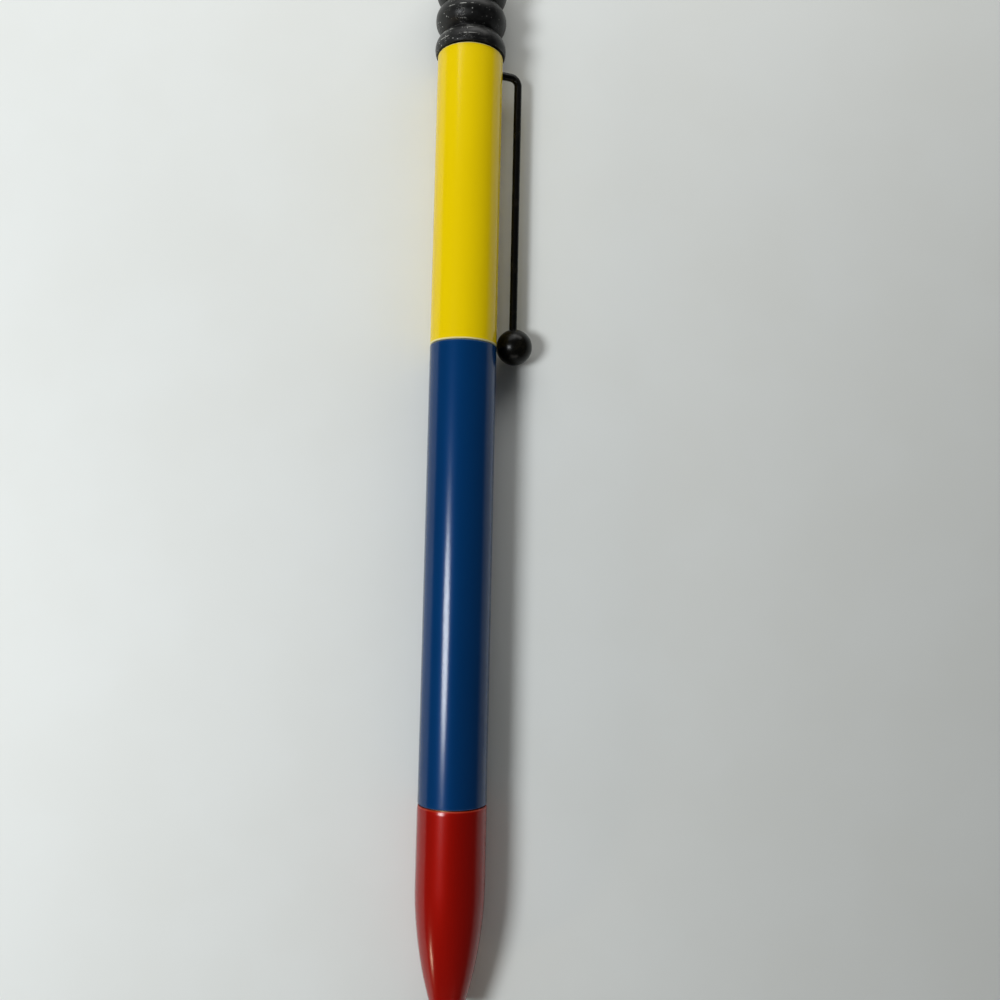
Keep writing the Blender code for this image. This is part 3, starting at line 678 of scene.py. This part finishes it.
# ---- Mechanism housing
# The fixed brass tube of the twist mechanism, pressed into the yellow tube.
# Two helical slots through its wall, half a turn each, carry the cross pin down as the knob turns.
HOUSING_BORE = 2.85 * MM
PIN_RADIUS = 0.45 * MM
PIN_TRAVEL = 4.0 * MM
CAM_SLOT_RADIUS = 0.75 * MM
SLOT_SIDE_GAP = 0.15 * MM
HOUSING_CHAMFER = 0.2 * MM
CAM_SLOT_STEPS = 60
CUTTER_SIDES = 24

pin_low, pin_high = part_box("cross_pin")
pin_y = (pin_low.y + pin_high.y) / 2
housing_start, housing_end, housing_radius = extent("mechanism_housing")


def swept(name, middle, along, first_side, radius, material, sides):
    """A round wire: a ring in the plane across the path at every point, and a pole point closing each end."""
    along = along / np.linalg.norm(along, axis=1)[:, None]
    second_side = np.cross(along, first_side)
    second_side /= np.linalg.norm(second_side, axis=1)[:, None]
    first_side = np.cross(second_side, along)
    angle = round_angles(sides)
    ring = first_side[:, None] * np.cos(angle)[None, :, None]
    ring = ring + second_side[:, None] * np.sin(angle)[None, :, None]
    radius = np.broadcast_to(radius, len(middle))[:, None, None]
    points = np.concatenate([(middle[:, None] + ring * radius).reshape(-1, 3), middle[:1], middle[-1:]])
    return finish_mesh(name, points, capped_faces(len(middle), sides), material)


def helix(radius, angle, y):
    """Points round the pen's axis and their outward directions; the angle turns the way the knob does."""
    outward = np.stack([np.cos(angle), np.zeros(len(angle)), -np.sin(angle)], -1)
    return AXIS + radius * outward + y[:, None] * ALONG, outward


line = tube_line(housing_radius, HOUSING_BORE, housing_start, housing_end, HOUSING_CHAMFER, FINE_EDGE)
housing = turned("cam_housing", line, turned_brass, INNER_SIDES)
slot_radius = (housing_radius + HOUSING_BORE) / 2
overrun = (PIN_RADIUS + SLOT_SIDE_GAP - CAM_SLOT_RADIUS) / slot_radius / math.pi
for start_angle in (0.0, math.pi):
    share = np.linspace(-overrun, 1 + overrun, CAM_SLOT_STEPS)
    middle, outward = helix(slot_radius, start_angle + math.pi * share, pin_y - PIN_TRAVEL * share)
    along = np.gradient(middle, axis=0)
    cutter = swept("slot_cutter", middle, along, outward, CAM_SLOT_RADIUS, turned_brass, CUTTER_SIDES)
    cut_away(housing, cutter)
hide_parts("mechanism_housing")
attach(housing, "upper_barrel")


# ---- Drive sleeve and retaining ring
# The brass sleeve is pressed into the knob's core and turns inside the housing; two straight slots drive
# the pin. A steel ring in its lower groove holds it in. Its upper groove is for the rubber friction ring.
SLEEVE_BORE = 2.0 * MM
RING_GROOVE = 2.35 * MM
RING_GROOVE_GAP = 0.1 * MM
RING_INNER_GAP = 0.05 * MM
RING_CHAMFER = 0.06 * MM
RING_MOUTH = 2.6 * MM
SLOT_END_POINTS = 13

sleeve_start, sleeve_end, sleeve_radius = extent("drive_sleeve")
ring_start, ring_end, ring_radius = extent("retaining_ring")
drag_start, drag_end, drag_radius = extent("friction_ring")
drag_thickness = (drag_end - drag_start) / 2
corners = [(sleeve_radius, sleeve_end)]
for groove_start, groove_end in ((drag_start, drag_end), (ring_start, ring_end)):
    corners += [
        (sleeve_radius, groove_end + RING_GROOVE_GAP),
        (RING_GROOVE, groove_end + RING_GROOVE_GAP),
        (RING_GROOVE, groove_start - RING_GROOVE_GAP),
        (sleeve_radius, groove_start - RING_GROOVE_GAP),
    ]
corners += [(sleeve_radius, sleeve_start), (SLEEVE_BORE, sleeve_start), (SLEEVE_BORE, sleeve_end)]
drive_sleeve = turned("slotted_sleeve", rounded_line(corners, SMALL_EDGE), turned_brass, INNER_SIDES)
half_turn = np.linspace(-math.pi / 2, math.pi / 2, SLOT_END_POINTS)[:, None]
slot_end = PIN_RADIUS + SLOT_SIDE_GAP
upper_end = (PIN_TRAVEL / 2 + slot_end * np.cos(half_turn)) * ALONG + slot_end * np.sin(half_turn) * UP
slot_outline = np.concatenate([upper_end, upper_end * np.array([1.0, -1.0, -1.0])])
slot_middle = AXIS + (pin_y - PIN_TRAVEL / 2) * ALONG
across_pen = (sleeve_radius + OVERCUT) * ACROSS
cut_bar(drive_sleeve, slot_outline, slot_middle - across_pen, slot_middle + across_pen)
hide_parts("drive_sleeve")
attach(drive_sleeve, "knob")

drawn_steel = machined("drawn_steel", (0.66, 0.66, 0.65), (0.58, 0.58, 0.57), (1.0, 0.03, 1.0))
line = tube_line(ring_radius, RING_GROOVE + RING_INNER_GAP, ring_start, ring_end, RING_CHAMFER, SMALL_EDGE)
retaining_ring = turned("open_steel_ring", line, drawn_steel, INNER_SIDES)
half_mouth, half_height = RING_MOUTH / 2 * UP, (ring_end - ring_start) * ALONG
mouth_outline = np.array([
    -half_height - half_mouth, half_height - half_mouth, half_height + half_mouth, half_mouth - half_height
])
ring_middle = AXIS + (ring_start + ring_end) / 2 * ALONG
cut_bar(retaining_ring, mouth_outline, ring_middle, ring_middle + (ring_radius + OVERCUT) * ACROSS)
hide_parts("retaining_ring")
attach(retaining_ring, "knob")


# ---- Pusher and cross pin
# The white moulded rod that pushes the refill, and the drawn steel pin through it.
# The pin rides in both pairs of slots, so it comes down the pen as the knob turns.
PIN_HOLE_RADIUS = 0.55 * MM
PIN_CHAMFER = 0.12 * MM
PIN_SIDES = 32
PUSHER_CHAMFER = 0.25 * MM
SOFT_EDGE = 0.05 * MM
SMALL_SIDES = 72

pusher_start, pusher_end, pusher_radius = extent("pusher")
corners = [(0.0, pusher_end), (pusher_radius - PUSHER_CHAMFER, pusher_end)]
corners += [(pusher_radius, pusher_end - PUSHER_CHAMFER), (pusher_radius, pusher_start + PUSHER_CHAMFER)]
corners += [(pusher_radius - PUSHER_CHAMFER, pusher_start), (0.0, pusher_start)]
line = rounded_line(corners, SOFT_EDGE, closed=False)
pusher = turned("pusher_rod", line, white_plastic, SMALL_SIDES, closed=False)
angle = round_angles(PIN_SIDES)[:, None]
pin_hole = PIN_HOLE_RADIUS * (np.cos(angle) * ALONG + np.sin(angle) * UP)
pin_middle = AXIS + pin_y * ALONG
cut_bar(pusher, pin_hole, pin_middle - across_pen, pin_middle + across_pen)
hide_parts("pusher")
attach(pusher, "pusher")

half_pin = (pin_high.x - pin_low.x) / 2
reach = np.array([-half_pin, -half_pin + PIN_CHAMFER, half_pin - PIN_CHAMFER, half_pin])
middle = pin_middle + reach[:, None] * ACROSS
pin_radii = PIN_RADIUS - np.array([PIN_CHAMFER, 0.0, 0.0, PIN_CHAMFER])
pin_along, pin_side = np.tile(ACROSS, (4, 1)), np.tile(ALONG, (4, 1))
cross_pin = swept("steel_cross_pin", middle, pin_along, pin_side, pin_radii, drawn_steel, PIN_SIDES)
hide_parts("cross_pin")
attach(cross_pin, "pusher")


# ---- Ribbed knob
# The moulded black rubber sleeve that the fingers turn: round ribs with narrow grooves, over the turned core.
# It is slightly glossy, with fine dust and lint caught in the grooves. Painted highlights, painted glints
# and a painted grey reflection lie on the upper left of the ribs.
knob_low, knob_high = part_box("ribbed_knob")
RIB_RADIUS = (knob_high.z - knob_low.z) / 2
RIB_PITCH = 3.92 * MM
RIB_COUNT = 4
GROOVE_DEPTH = 1.27 * MM
KNOB_BORE = 3.15 * MM
FIRST_RIB = barrel_high.y + 0.9 * MM
GROOVE_ROUNDING = 0.07 * MM
RIB_STEP = 0.03 * MM
BLUR_STEPS = 12
RIB_MARGIN = 0.06 * MM
HIGHLIGHT_RING_PLACES = (0.02, 0.26)


def rib_line():
    """The ribbed side: at each y the arc of the nearest rib, then blurred a little to round the grooves."""
    rib_arc = ((RIB_PITCH / 2) ** 2 + GROOVE_DEPTH**2) / (2 * GROOVE_DEPTH)
    y = np.arange(knob_low.y - 1 * MM, knob_high.y + 1 * MM, RIB_STEP)
    nearest = np.clip(np.round((y - FIRST_RIB) / RIB_PITCH), 0, RIB_COUNT - 1)
    offset = y - FIRST_RIB - nearest * RIB_PITCH
    radius = RIB_RADIUS - rib_arc + np.sqrt(np.maximum(rib_arc**2 - offset**2, 0))
    reach = np.arange(-BLUR_STEPS, BLUR_STEPS + 1) * RIB_STEP
    weight = np.exp(-0.5 * (reach / GROOVE_ROUNDING) ** 2)
    radius = np.convolve(radius, weight / weight.sum(), "same")
    inside = (y > knob_low.y + RIB_MARGIN) & (y < knob_high.y - RIB_MARGIN)
    return np.stack([radius[inside], y[inside]], -1)[::-1]


def make_rubber_finish():
    """Moulded rubber: cloudy sheen, fine grain, and pale grains and short fibres of lint.

    On each rib a painted highlight runs along the crest and along a ring partly down its upper side, broken
    up and only on the lit upper left. Real dust and lint lie thicker on the top and the left, where their
    pale
    grains also stand in for glints: partly painted highlight. A painted grey reflection lies on the left
    side.
    """
    inputs = ["Colour", "Bloom Colour", "Dust", "Rubbed"]
    group, given, made = new_group("rubber_finish", inputs, ["Colour", "Roughness", "Height"])
    place = object_place(group)
    parts = parts_of(group, place)
    from_axis = math_of(group, "SUBTRACT", parts["X"], PEN_X)
    # left and upper_side mark the upper left, the side the main lamp lights, where the painted marks go.
    left = remap(group, from_axis, 1.6 * MM, -0.8 * MM)
    upper_side = remap(group, math_of(group, "SUBTRACT", parts["Z"], PEN_Z), -2.2 * MM, 1.4 * MM)

    # Painted highlight: pale broken rings along each rib's crest and partly down its upper side, kept to the
    # lit upper left.
    ribs_up = math_of(group, "DIVIDE", math_of(group, "SUBTRACT", parts["Y"], FIRST_RIB), RIB_PITCH)
    rings = []
    for highlight_place in HIGHLIGHT_RING_PLACES:
        shifted = math_of(group, "FRACT", math_of(group, "ADD", ribs_up, 0.5 - highlight_place))
        rings.append(remap(group, gap_of(group, shifted, 0.5), 0.016, 0.006))
    broken = remap(group, noise_of(group, object_place(group, (1.0, 0.3, 1.0)), 900.0, 3.0), 0.50, 0.60)
    wear_and_highlight = product(group, math_of(group, "MAXIMUM", *rings), product(group, broken, left), upper_side)
    wear_and_highlight = product(group, wear_and_highlight, given["Rubbed"])

    speck = specks(group, place, 3300.0, (0.30, 0.14), (0.76, 0.86))
    fibre = noise_of(group, object_place(group, (1.0, 2.6, 1.0)), 1900.0, 1.0)
    patch = remap(group, noise_of(group, place, 520.0, 1.0), 0.56, 0.66)
    lint = product(group, remap(group, gap_of(group, fibre, 0.5), 0.012, 0.002), patch)
    # Real dust and lint, made thicker on the lit upper left, where the pale grains also stand in for glints:
    # partly painted highlight. The painted highlight rings join them.
    dust = product(
        group,
        math_of(group, "MAXIMUM", speck, lint),
        given["Dust"],
        remap(group, left, 0.0, 1.0, 0.22, 1.0),
        remap(group, upper_side, 0.0, 1.0, 0.25, 1.0),
    )
    dust = math_of(group, "MAXIMUM", dust, wear_and_highlight)

    cloud = remap(group, noise_of(group, place, 700.0, 4.0, 0.6), 0.42, 0.68)
    clouded = mix_of(group, cloud, given["Colour"], given["Bloom Colour"])
    # Painted reflection: a grey film laid on the knob's far left side.
    painted_left_reflection = product(group, remap(group, from_axis, -1.4 * MM, -3.6 * MM), product(group, given["Dust"], 0.45))
    with_left_reflection = mix_of(group, painted_left_reflection, clouded, (0.055, 0.055, 0.052))
    # The pale grain colour serves the real dust and the painted highlights and glints.
    join(group, mix_of(group, dust, with_left_reflection, (0.50, 0.50, 0.47)), made["Colour"])
    rough = math_of(group, "ADD", remap(group, cloud, 0.0, 1.0, 0.32, 0.46), product(group, dust, 0.4))
    join(group, rough, made["Roughness"])
    join(group, math_of(group, "ADD", noise_of(group, place, 9000.0), dust), made["Height"])
    return group


rubber_finish = make_rubber_finish()


# dust sets the real dust together with the painted glints and grey reflection; wear_and_highlight sets the
# painted rib highlights.
def rubber(name, colour, bloom_colour, dust, wear_and_highlight):
    values = {"Colour": colour, "Bloom_Colour": bloom_colour, "Dust": dust, "Rubbed": wear_and_highlight}
    return finished(name, rubber_finish, {"Specular_IOR_Level": 0.2}, 12 * UM, **values)


black_rubber = rubber("black_rubber", (0.005, 0.005, 0.005), (0.013, 0.013, 0.013), 0.9, 0.8)
side = rib_line()
corners = [tuple(side[-1]), (side[-1, 0], knob_low.y), (KNOB_BORE, knob_low.y)]
corners += [(KNOB_BORE, knob_high.y), (side[0, 0], knob_high.y), tuple(side[0])]
ends = rounded_line(corners, SOFT_EDGE, closed=False)
ribbed_knob = turned("ribbed_knob_sleeve", np.concatenate([side, ends[1:-1]]), black_rubber)
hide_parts("ribbed_knob")
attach(ribbed_knob, "knob")


# ---- Friction ring
# The small moulded rubber ring in the drive sleeve's upper groove.
# It rubs on the housing and gives the knob its even drag.
seal_rubber = rubber("seal_rubber", (0.010, 0.010, 0.010), (0.020, 0.020, 0.020), 0.1, 0.0)
DRAG_RING_POINTS = 24
angle = round_angles(DRAG_RING_POINTS)
line = np.stack([
    drag_radius - drag_thickness + drag_thickness * np.cos(angle),
    (drag_start + drag_end) / 2 + drag_thickness * np.sin(angle),
], -1)
friction_ring = turned("rubber_friction_ring", line, seal_rubber, SMALL_SIDES)
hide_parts("friction_ring")
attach(friction_ring, "knob")


# ---- Knob core
# The turned core under the rubber, coated satin black. Its flat cap closes the pen's end.
# The socket in its lower end is pressed on to the drive sleeve.
core_low, core_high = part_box("knob_core")
CAP_RADIUS = (core_high.z - core_low.z) / 2
CORE_RADIUS = 3.05 * MM
SOCKET_RADIUS = 2.75 * MM
CAP_THICKNESS = 0.7 * MM
SOCKET_DEPTH = 5.1 * MM
CAP_CHAMFER = 0.2 * MM


def make_coating_finish():
    """Satin black coating: a fine grain and slight rubbing marks."""
    inputs = ["Colour", "Rubbed Colour"]
    group, given, made = new_group("coating_finish", inputs, ["Colour", "Roughness", "Height"])
    place = object_place(group)
    wear_and_highlight = remap(group, noise_of(group, place, 800.0, 3.0, 0.6), 0.50, 0.72)
    join(group, mix_of(group, wear_and_highlight, given["Colour"], given["Rubbed Colour"]), made["Colour"])
    join(group, remap(group, wear_and_highlight, 0.0, 1.0, 0.27, 0.23), made["Roughness"])
    join(group, noise_of(group, place, 7500.0), made["Height"])
    return group


black_coating = finished(
    "black_coating",
    make_coating_finish(),
    {"Specular_IOR_Level": 0.14},
    3 * UM,
    Colour=(0.0022, 0.0020, 0.0016),
    Rubbed_Colour=(0.0075, 0.0065, 0.0045),
)
cap_start, socket_end = core_high.y - CAP_THICKNESS, core_low.y + SOCKET_DEPTH
corners = [(0.0, core_high.y), (CAP_RADIUS - CAP_CHAMFER, core_high.y)]
corners += [(CAP_RADIUS, core_high.y - CAP_CHAMFER), (CAP_RADIUS, cap_start)]
corners += [(CORE_RADIUS, cap_start), (CORE_RADIUS, core_low.y)]
corners += [(SOCKET_RADIUS, core_low.y), (SOCKET_RADIUS, socket_end), (0.0, socket_end)]
line = rounded_line(corners, EDGE_ROUNDING, closed=False)
knob_core = turned("knob_core_and_cap", line, black_coating, closed=False)
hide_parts("knob_core")
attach(knob_core, "knob")


# ---- Clip
# Spring steel wire, coated satin black. It comes out of the barrel's side, turns a tight bend and runs along
# the barrel, and a black ball is fixed on its end.
ball_low, ball_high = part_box("clip_ball")
BALL_RADIUS = (ball_high.y - ball_low.y) / 2
CLIP_BEND = 1.1 * MM
CLIP_ROOT_REACH = 3.05 * MM
CLIP_WIRE_RADIUS = 0.5 * MM
CLIP_WIRE_SIDES = 40
BALL_GAP = 0.3 * MM
WIRE_INSET = 0.2 * MM
WIRE_IN_BALL = 0.6
ROOT_POINTS, BEND_POINTS, RUN_POINTS = 7, 25, 60
BALL_ROWS, BALL_SIDES = 64, 96
ball_reach = BARREL_RADIUS + BALL_GAP + BALL_RADIUS
wire_reach = ball_reach - WIRE_INSET
ball_y = (ball_low.y + ball_high.y) / 2


def clip_path():
    """The wire's middle as (reach from the pen's axis, y): straight out, a quarter turn, straight along."""
    bend = np.linspace(math.pi / 2, 0.0, BEND_POINTS)
    reach = wire_reach - CLIP_BEND + CLIP_BEND * np.cos(bend)
    y = CLIP_Y - CLIP_BEND + CLIP_BEND * np.sin(bend)
    root = np.linspace(CLIP_ROOT_REACH, reach[0], ROOT_POINTS)[:-1]
    end = np.linspace(y[-1], ball_y + WIRE_IN_BALL * BALL_RADIUS, RUN_POINTS)[1:]
    return np.stack([
        np.concatenate([root, reach, np.full(len(end), wire_reach)]),
        np.concatenate([np.full(len(root), CLIP_Y), y, end]),
    ], -1)


path = clip_path()
middle = AXIS + path[:, :1] * CLIP_OUT + path[:, 1:] * ALONG
along, side = np.gradient(middle, axis=0), np.broadcast_to(np.cross(CLIP_OUT, ALONG), middle.shape)
clip_wire = swept("clip_wire_bent", middle, along, side, CLIP_WIRE_RADIUS, black_coating, CLIP_WIRE_SIDES)
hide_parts("clip_wire")
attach(clip_wire, "clip")


def round_ball(name, centre, radius, side, rows, columns, material):
    """A sphere as rings along the pen: centre plus radius times (cos v along the pen, sin v across it)."""
    down = np.linspace(0, math.pi, rows + 1)[1:-1]
    angle = round_angles(columns)
    ring = np.cos(angle)[None, :, None] * side + np.sin(angle)[None, :, None] * np.cross(ALONG, side)
    body = np.cos(down)[:, None, None] * ALONG + np.sin(down)[:, None, None] * ring
    poles = [centre + radius * ALONG, centre - radius * ALONG]
    points = np.concatenate([(centre + radius * body).reshape(-1, 3), poles])
    return finish_mesh(name, points, capped_faces(rows - 1, columns), material)


ball_centre = AXIS + ball_reach * CLIP_OUT + ball_y * ALONG
clip_ball = round_ball(
    "clip_ball_round", ball_centre, BALL_RADIUS, CLIP_OUT, BALL_ROWS, BALL_SIDES, black_coating
)
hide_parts("clip_ball")
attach(clip_ball, "clip")


# ---- Refill
# A slim refill: a drawn steel tube crimped on a turned brass tip, with ink, a follower of pale grease and a
# white plug. The writing ball, 0.7 mm across, sits in the socket at the tip's end.
TUBE_BORE = 1.25 * MM
CRIMP_DEPTH = 0.08 * MM
CRIMP_PLACE = 1.6 * MM
CRIMP_HALF, CRIMP_FLOOR = 0.35 * MM, 0.12 * MM
TUBE_CHAMFER = 0.1 * MM
TIP_SHANK = 1.15 * MM
TIP_NECK = 1.0 * MM
TIP_FRONT = 0.48 * MM
TIP_CONE_LENGTH, NECK_END, SHANK_START = 2.4 * MM, 3.0 * MM, 3.2 * MM
INK_CHANNEL = 0.2 * MM
BALL_SOCKET = 0.39 * MM
BALL_SOCKET_DEPTH = 0.54 * MM
VENT_RADIUS = 0.3 * MM
PLUG_HEAD = 1.1 * MM
PLUG_CHAMFER, PLUG_TAPER = 0.15 * MM, 0.2 * MM
FILLING_ROUNDING = 0.15 * MM
FILLING_SIDES = 64
WRITING_ROWS, WRITING_SIDES = 24, 36

tube_start, tube_end, tube_radius = extent("refill_tube")
crimp, crimp_radius = tube_start + CRIMP_PLACE, tube_radius - CRIMP_DEPTH
corners = [(tube_radius, tube_end), (tube_radius, crimp + CRIMP_HALF), (crimp_radius, crimp + CRIMP_FLOOR)]
corners += [(crimp_radius, crimp - CRIMP_FLOOR), (tube_radius, crimp - CRIMP_HALF)]
corners += [(tube_radius, tube_start + TUBE_CHAMFER), (tube_radius - TUBE_CHAMFER, tube_start)]
corners += [(TUBE_BORE, tube_start), (TUBE_BORE, tube_end)]
refill_tube = turned("refill_steel_tube", rounded_line(corners, EDGE_ROUNDING), drawn_steel, INNER_SIDES)
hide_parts("refill_tube")
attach(refill_tube, "refill")

tip_low, tip_end, _ = extent("refill_tip")
corners = [(TIP_SHANK, tip_end), (TIP_SHANK, tip_low + SHANK_START), (TIP_NECK, tip_low + NECK_END)]
corners += [(TIP_NECK, tip_low + TIP_CONE_LENGTH), (TIP_FRONT, tip_low), (BALL_SOCKET, tip_low)]
corners += [(BALL_SOCKET, tip_low + BALL_SOCKET_DEPTH), (INK_CHANNEL, tip_low + BALL_SOCKET_DEPTH)]
corners += [(INK_CHANNEL, tip_end)]
refill_tip = turned("refill_brass_tip", rounded_line(corners, SMALL_EDGE), turned_brass, SMALL_SIDES)
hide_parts("refill_tip")
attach(refill_tip, "refill")

writing_low, writing_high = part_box("writing_ball")
writing_centre = np.array(writing_low + writing_high) / 2
writing_radius = (writing_high.y - writing_low.y) / 2
writing_ball = round_ball(
    "writing_ball_round", writing_centre, writing_radius, ACROSS, WRITING_ROWS, WRITING_SIDES, drawn_steel
)
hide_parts("writing_ball")
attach(writing_ball, "writing_ball")

thick_ink = moulded("thick_ink", (0.006, 0.012, 0.20), (0.004, 0.008, 0.14), 0.10, 0.18, 2 * UM)
pale_grease = moulded("pale_grease", (0.68, 0.60, 0.34), (0.60, 0.52, 0.28), 0.22, 0.36, 6 * UM)
fillings = (
    ("ink_column", "ink_in_tube", thick_ink, "ink"),
    ("ink_follower", "grease_follower", pale_grease, "grease"),
)
for node, name, material, slot in fillings:
    filling_start, filling_end, filling_radius = extent(node)
    corners = [(0.0, filling_end), (filling_radius, filling_end)]
    corners += [(filling_radius, filling_start), (0.0, filling_start)]
    line = rounded_line(corners, FILLING_ROUNDING, closed=False)
    filling = turned(name, line, material, FILLING_SIDES, closed=False)
    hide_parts(node)
    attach(filling, "refill")

plug_start, plug_end, plug_radius = extent("refill_plug")
head_start = plug_end - PLUG_HEAD
corners = [(plug_radius - PLUG_CHAMFER, plug_end), (plug_radius, plug_end - PLUG_CHAMFER)]
corners += [(plug_radius, head_start), (TIP_SHANK, head_start), (TIP_SHANK, plug_start + PLUG_TAPER)]
corners += [(TIP_SHANK - PLUG_CHAMFER, plug_start), (VENT_RADIUS, plug_start), (VENT_RADIUS, plug_end)]
refill_plug = turned("refill_white_plug", rounded_line(corners, EDGE_ROUNDING), white_plastic, SMALL_SIDES)
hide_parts("refill_plug")
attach(refill_plug, "refill")


# ---- Lower barrel
# The blue tube: the same drawn brass tube, longer, lacquered in deep gloss blue.
# It screws to the coupler at its top, and the nose is pressed on below.
# Full, thin and painted rim highlight colour.
BLUES = ((0.0, 0.036, 0.138), (0.0, 0.033, 0.128), (0.02, 0.07, 0.19))
blue_lacquer = lacquer("blue_lacquer", BLUES, "lower_barrel", 0.5, 0.22)
lower_low, lower_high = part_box("lower_barrel")
line = tube_line(BARREL_RADIUS, BORE_RADIUS, lower_low.y, lower_high.y, BARREL_CHAMFER, EDGE_ROUNDING)
lower_barrel = turned("blue_lower_barrel", line, blue_lacquer)
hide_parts("lower_barrel")
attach(lower_barrel, "lower_barrel")


# ---- Thread insert
# A turned brass ring, pressed into the blue tube's upper end.
# Its fine inside thread screws on to the coupler.
INSERT_CREST = 3.3 * MM
INSERT_THREAD_DEPTH = 0.9 * THREAD_DEPTH
INSERT_CHAMFER = 0.1 * MM

insert_start, insert_end, insert_radius = extent("thread_insert")
line = tube_line(insert_radius, INSERT_CREST, insert_start, insert_end, INSERT_CHAMFER, EDGE_ROUNDING)
line = with_more_points(line, insert_start, insert_end, THREAD_STEP)
cut_thread = thread(INSERT_CREST, insert_start, insert_end, THREAD_PITCH, INSERT_THREAD_DEPTH, THREAD_FADE)
thread_insert = turned("threaded_insert", line, turned_brass, INNER_SIDES, wave=cut_thread)
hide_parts("thread_insert")
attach(thread_insert, "lower_barrel")


# ---- Nose section
# The red nose: turned brass, lacquered in gloss red. It runs parallel and then curves in to a small rounded
# rim. Inside are the mouth that guides the refill's tip, and the chamber that holds the return spring.
# Full, thin and painted rim highlight colour.
REDS = ((0.315, 0.0035, 0.0003), (0.295, 0.003, 0.0003), (0.45, 0.03, 0.01))
red_lacquer = lacquer("red_lacquer", REDS, "nose_section", 0.5, 0.28)
nose_low, nose_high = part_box("nose_section")
NOSE_RADIUS = (nose_high.z - nose_low.z) / 2
NOSE_PARALLEL = 9.3 * MM
RIM_RADIUS = 1.7 * MM
MOUTH_RADIUS = 1.35 * MM
MOUTH_LENGTH = 5.8 * MM
CHAMBER_RADIUS = 2.0 * MM
NOSE_SOCKET_DEPTH = 7.4 * MM
SHOULDER_DROP = 0.045 * MM
SHOULDER_LENGTH = 0.44 * MM
SHOULDER_ROUNDING = 2.0 * MM
CURVE_ROWS = 70
RIM_LENGTH, RIM_DRAFT, RIM_ROUNDING = 0.18 * MM, 0.005 * MM, 0.14 * MM
MOUTH_ROUNDING = 0.08 * MM

curve_top = nose_high.y - NOSE_PARALLEL
curve_length = curve_top - nose_low.y
curve_drop = NOSE_RADIUS - RIM_RADIUS
curve_radius = (curve_length**2 + curve_drop**2) / (2 * curve_drop)
# The curved side: an arc tangent to the parallel part, sampled evenly down to just above the rim.
below = np.linspace(0.0, curve_length - RIM_LENGTH, CURVE_ROWS)
curve = np.stack([NOSE_RADIUS - curve_radius + np.sqrt(curve_radius**2 - below**2), curve_top - below], -1)
socket_bottom, mouth_top = nose_high.y - NOSE_SOCKET_DEPTH, nose_low.y + MOUTH_LENGTH
corners = [(BORE_RADIUS, socket_bottom), (BORE_RADIUS, nose_high.y)]
corners += [(NOSE_RADIUS - BARREL_CHAMFER, nose_high.y)]
corners += [(NOSE_RADIUS - SHOULDER_DROP, nose_high.y - BARREL_CHAMFER)]
corners += [(NOSE_RADIUS, nose_high.y - SHOULDER_LENGTH), (NOSE_RADIUS, curve_top)]
roundings = [0.0, EDGE_ROUNDING, EDGE_ROUNDING, EDGE_ROUNDING, SHOULDER_ROUNDING, 0.0]
upper_edge = rounded_line(corners, roundings, closed=False)
corners = [tuple(curve[-1]), (RIM_RADIUS + RIM_DRAFT, nose_low.y), (MOUTH_RADIUS, nose_low.y)]
corners += [(MOUTH_RADIUS, mouth_top), (CHAMBER_RADIUS, mouth_top), (CHAMBER_RADIUS, socket_bottom)]
corners += [(BORE_RADIUS, socket_bottom)]
roundings = [0.0, RIM_ROUNDING, MOUTH_ROUNDING, SMALL_EDGE, SMALL_EDGE, SMALL_EDGE, 0.0]
rim_and_bore = rounded_line(corners, roundings, closed=False)
line = np.concatenate([upper_edge, curve[1:-1], rim_and_bore[:-1]])
nose = turned("red_nose", line, red_lacquer)
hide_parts("nose_section")
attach(nose, "lower_barrel")


# ---- Nose joint bush
# A turned brass bush with a chamfer at both ends.
# It is pressed into both the blue tube and the red nose, so that they stay together.
bush_start, bush_end, bush_radius = extent("nose_joint_bush")
line = tube_line(bush_radius, CHAMBER_RADIUS, bush_start, bush_end, LEAD_IN, FINE_EDGE)
nose_joint_bush = turned("joint_bush", line, turned_brass, INNER_SIDES)
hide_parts("nose_joint_bush")
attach(nose_joint_bush, "lower_barrel")


# ---- Return spring
# A coil of steel wire round the refill's tip, with closed end turns. It stands on the nose's inner step, and
# the refill's shoulder squeezes it as the knob turns the refill out.
SPRING_WIRE_RADIUS = 0.2 * MM
SPRING_COIL_RADIUS = 1.45 * MM
SPRING_TURNS = 9
CLOSED_PITCH = 0.46 * MM
TURN_STEPS = 44
EASE_STEPS = 25
SPRING_WIRE_SIDES = 16

spring_start, spring_end, _ = extent("return_spring")
turn = np.linspace(0, SPRING_TURNS, SPRING_TURNS * TURN_STEPS + 1)
closeness = np.clip(np.minimum(turn, SPRING_TURNS - turn), 0, 1)
# The open turns share out what the closed ones leave; the height is the running sum of the pitch.
pitch = np.pad(np.where(closeness < 1, 0.0, 1.0), EASE_STEPS // 2, "edge")
pitch = np.convolve(pitch, np.full(EASE_STEPS, 1 / EASE_STEPS), "valid")
height = np.concatenate([[0], np.cumsum((pitch[1:] + pitch[:-1]) / 2)])
height = height / height[-1]
wire_height = spring_end - spring_start - 2 * SPRING_WIRE_RADIUS
closed_height = CLOSED_PITCH * SPRING_TURNS
y = spring_start + SPRING_WIRE_RADIUS + closed_height * turn / SPRING_TURNS
y = y + (wire_height - closed_height) * height
middle, outward = helix(SPRING_COIL_RADIUS, 2 * math.pi * turn, y)
along = np.gradient(middle, axis=0)
spring = swept("coil_spring", middle, along, outward, SPRING_WIRE_RADIUS, drawn_steel, SPRING_WIRE_SIDES)
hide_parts("return_spring")
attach(spring, "lower_barrel")
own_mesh(spring)
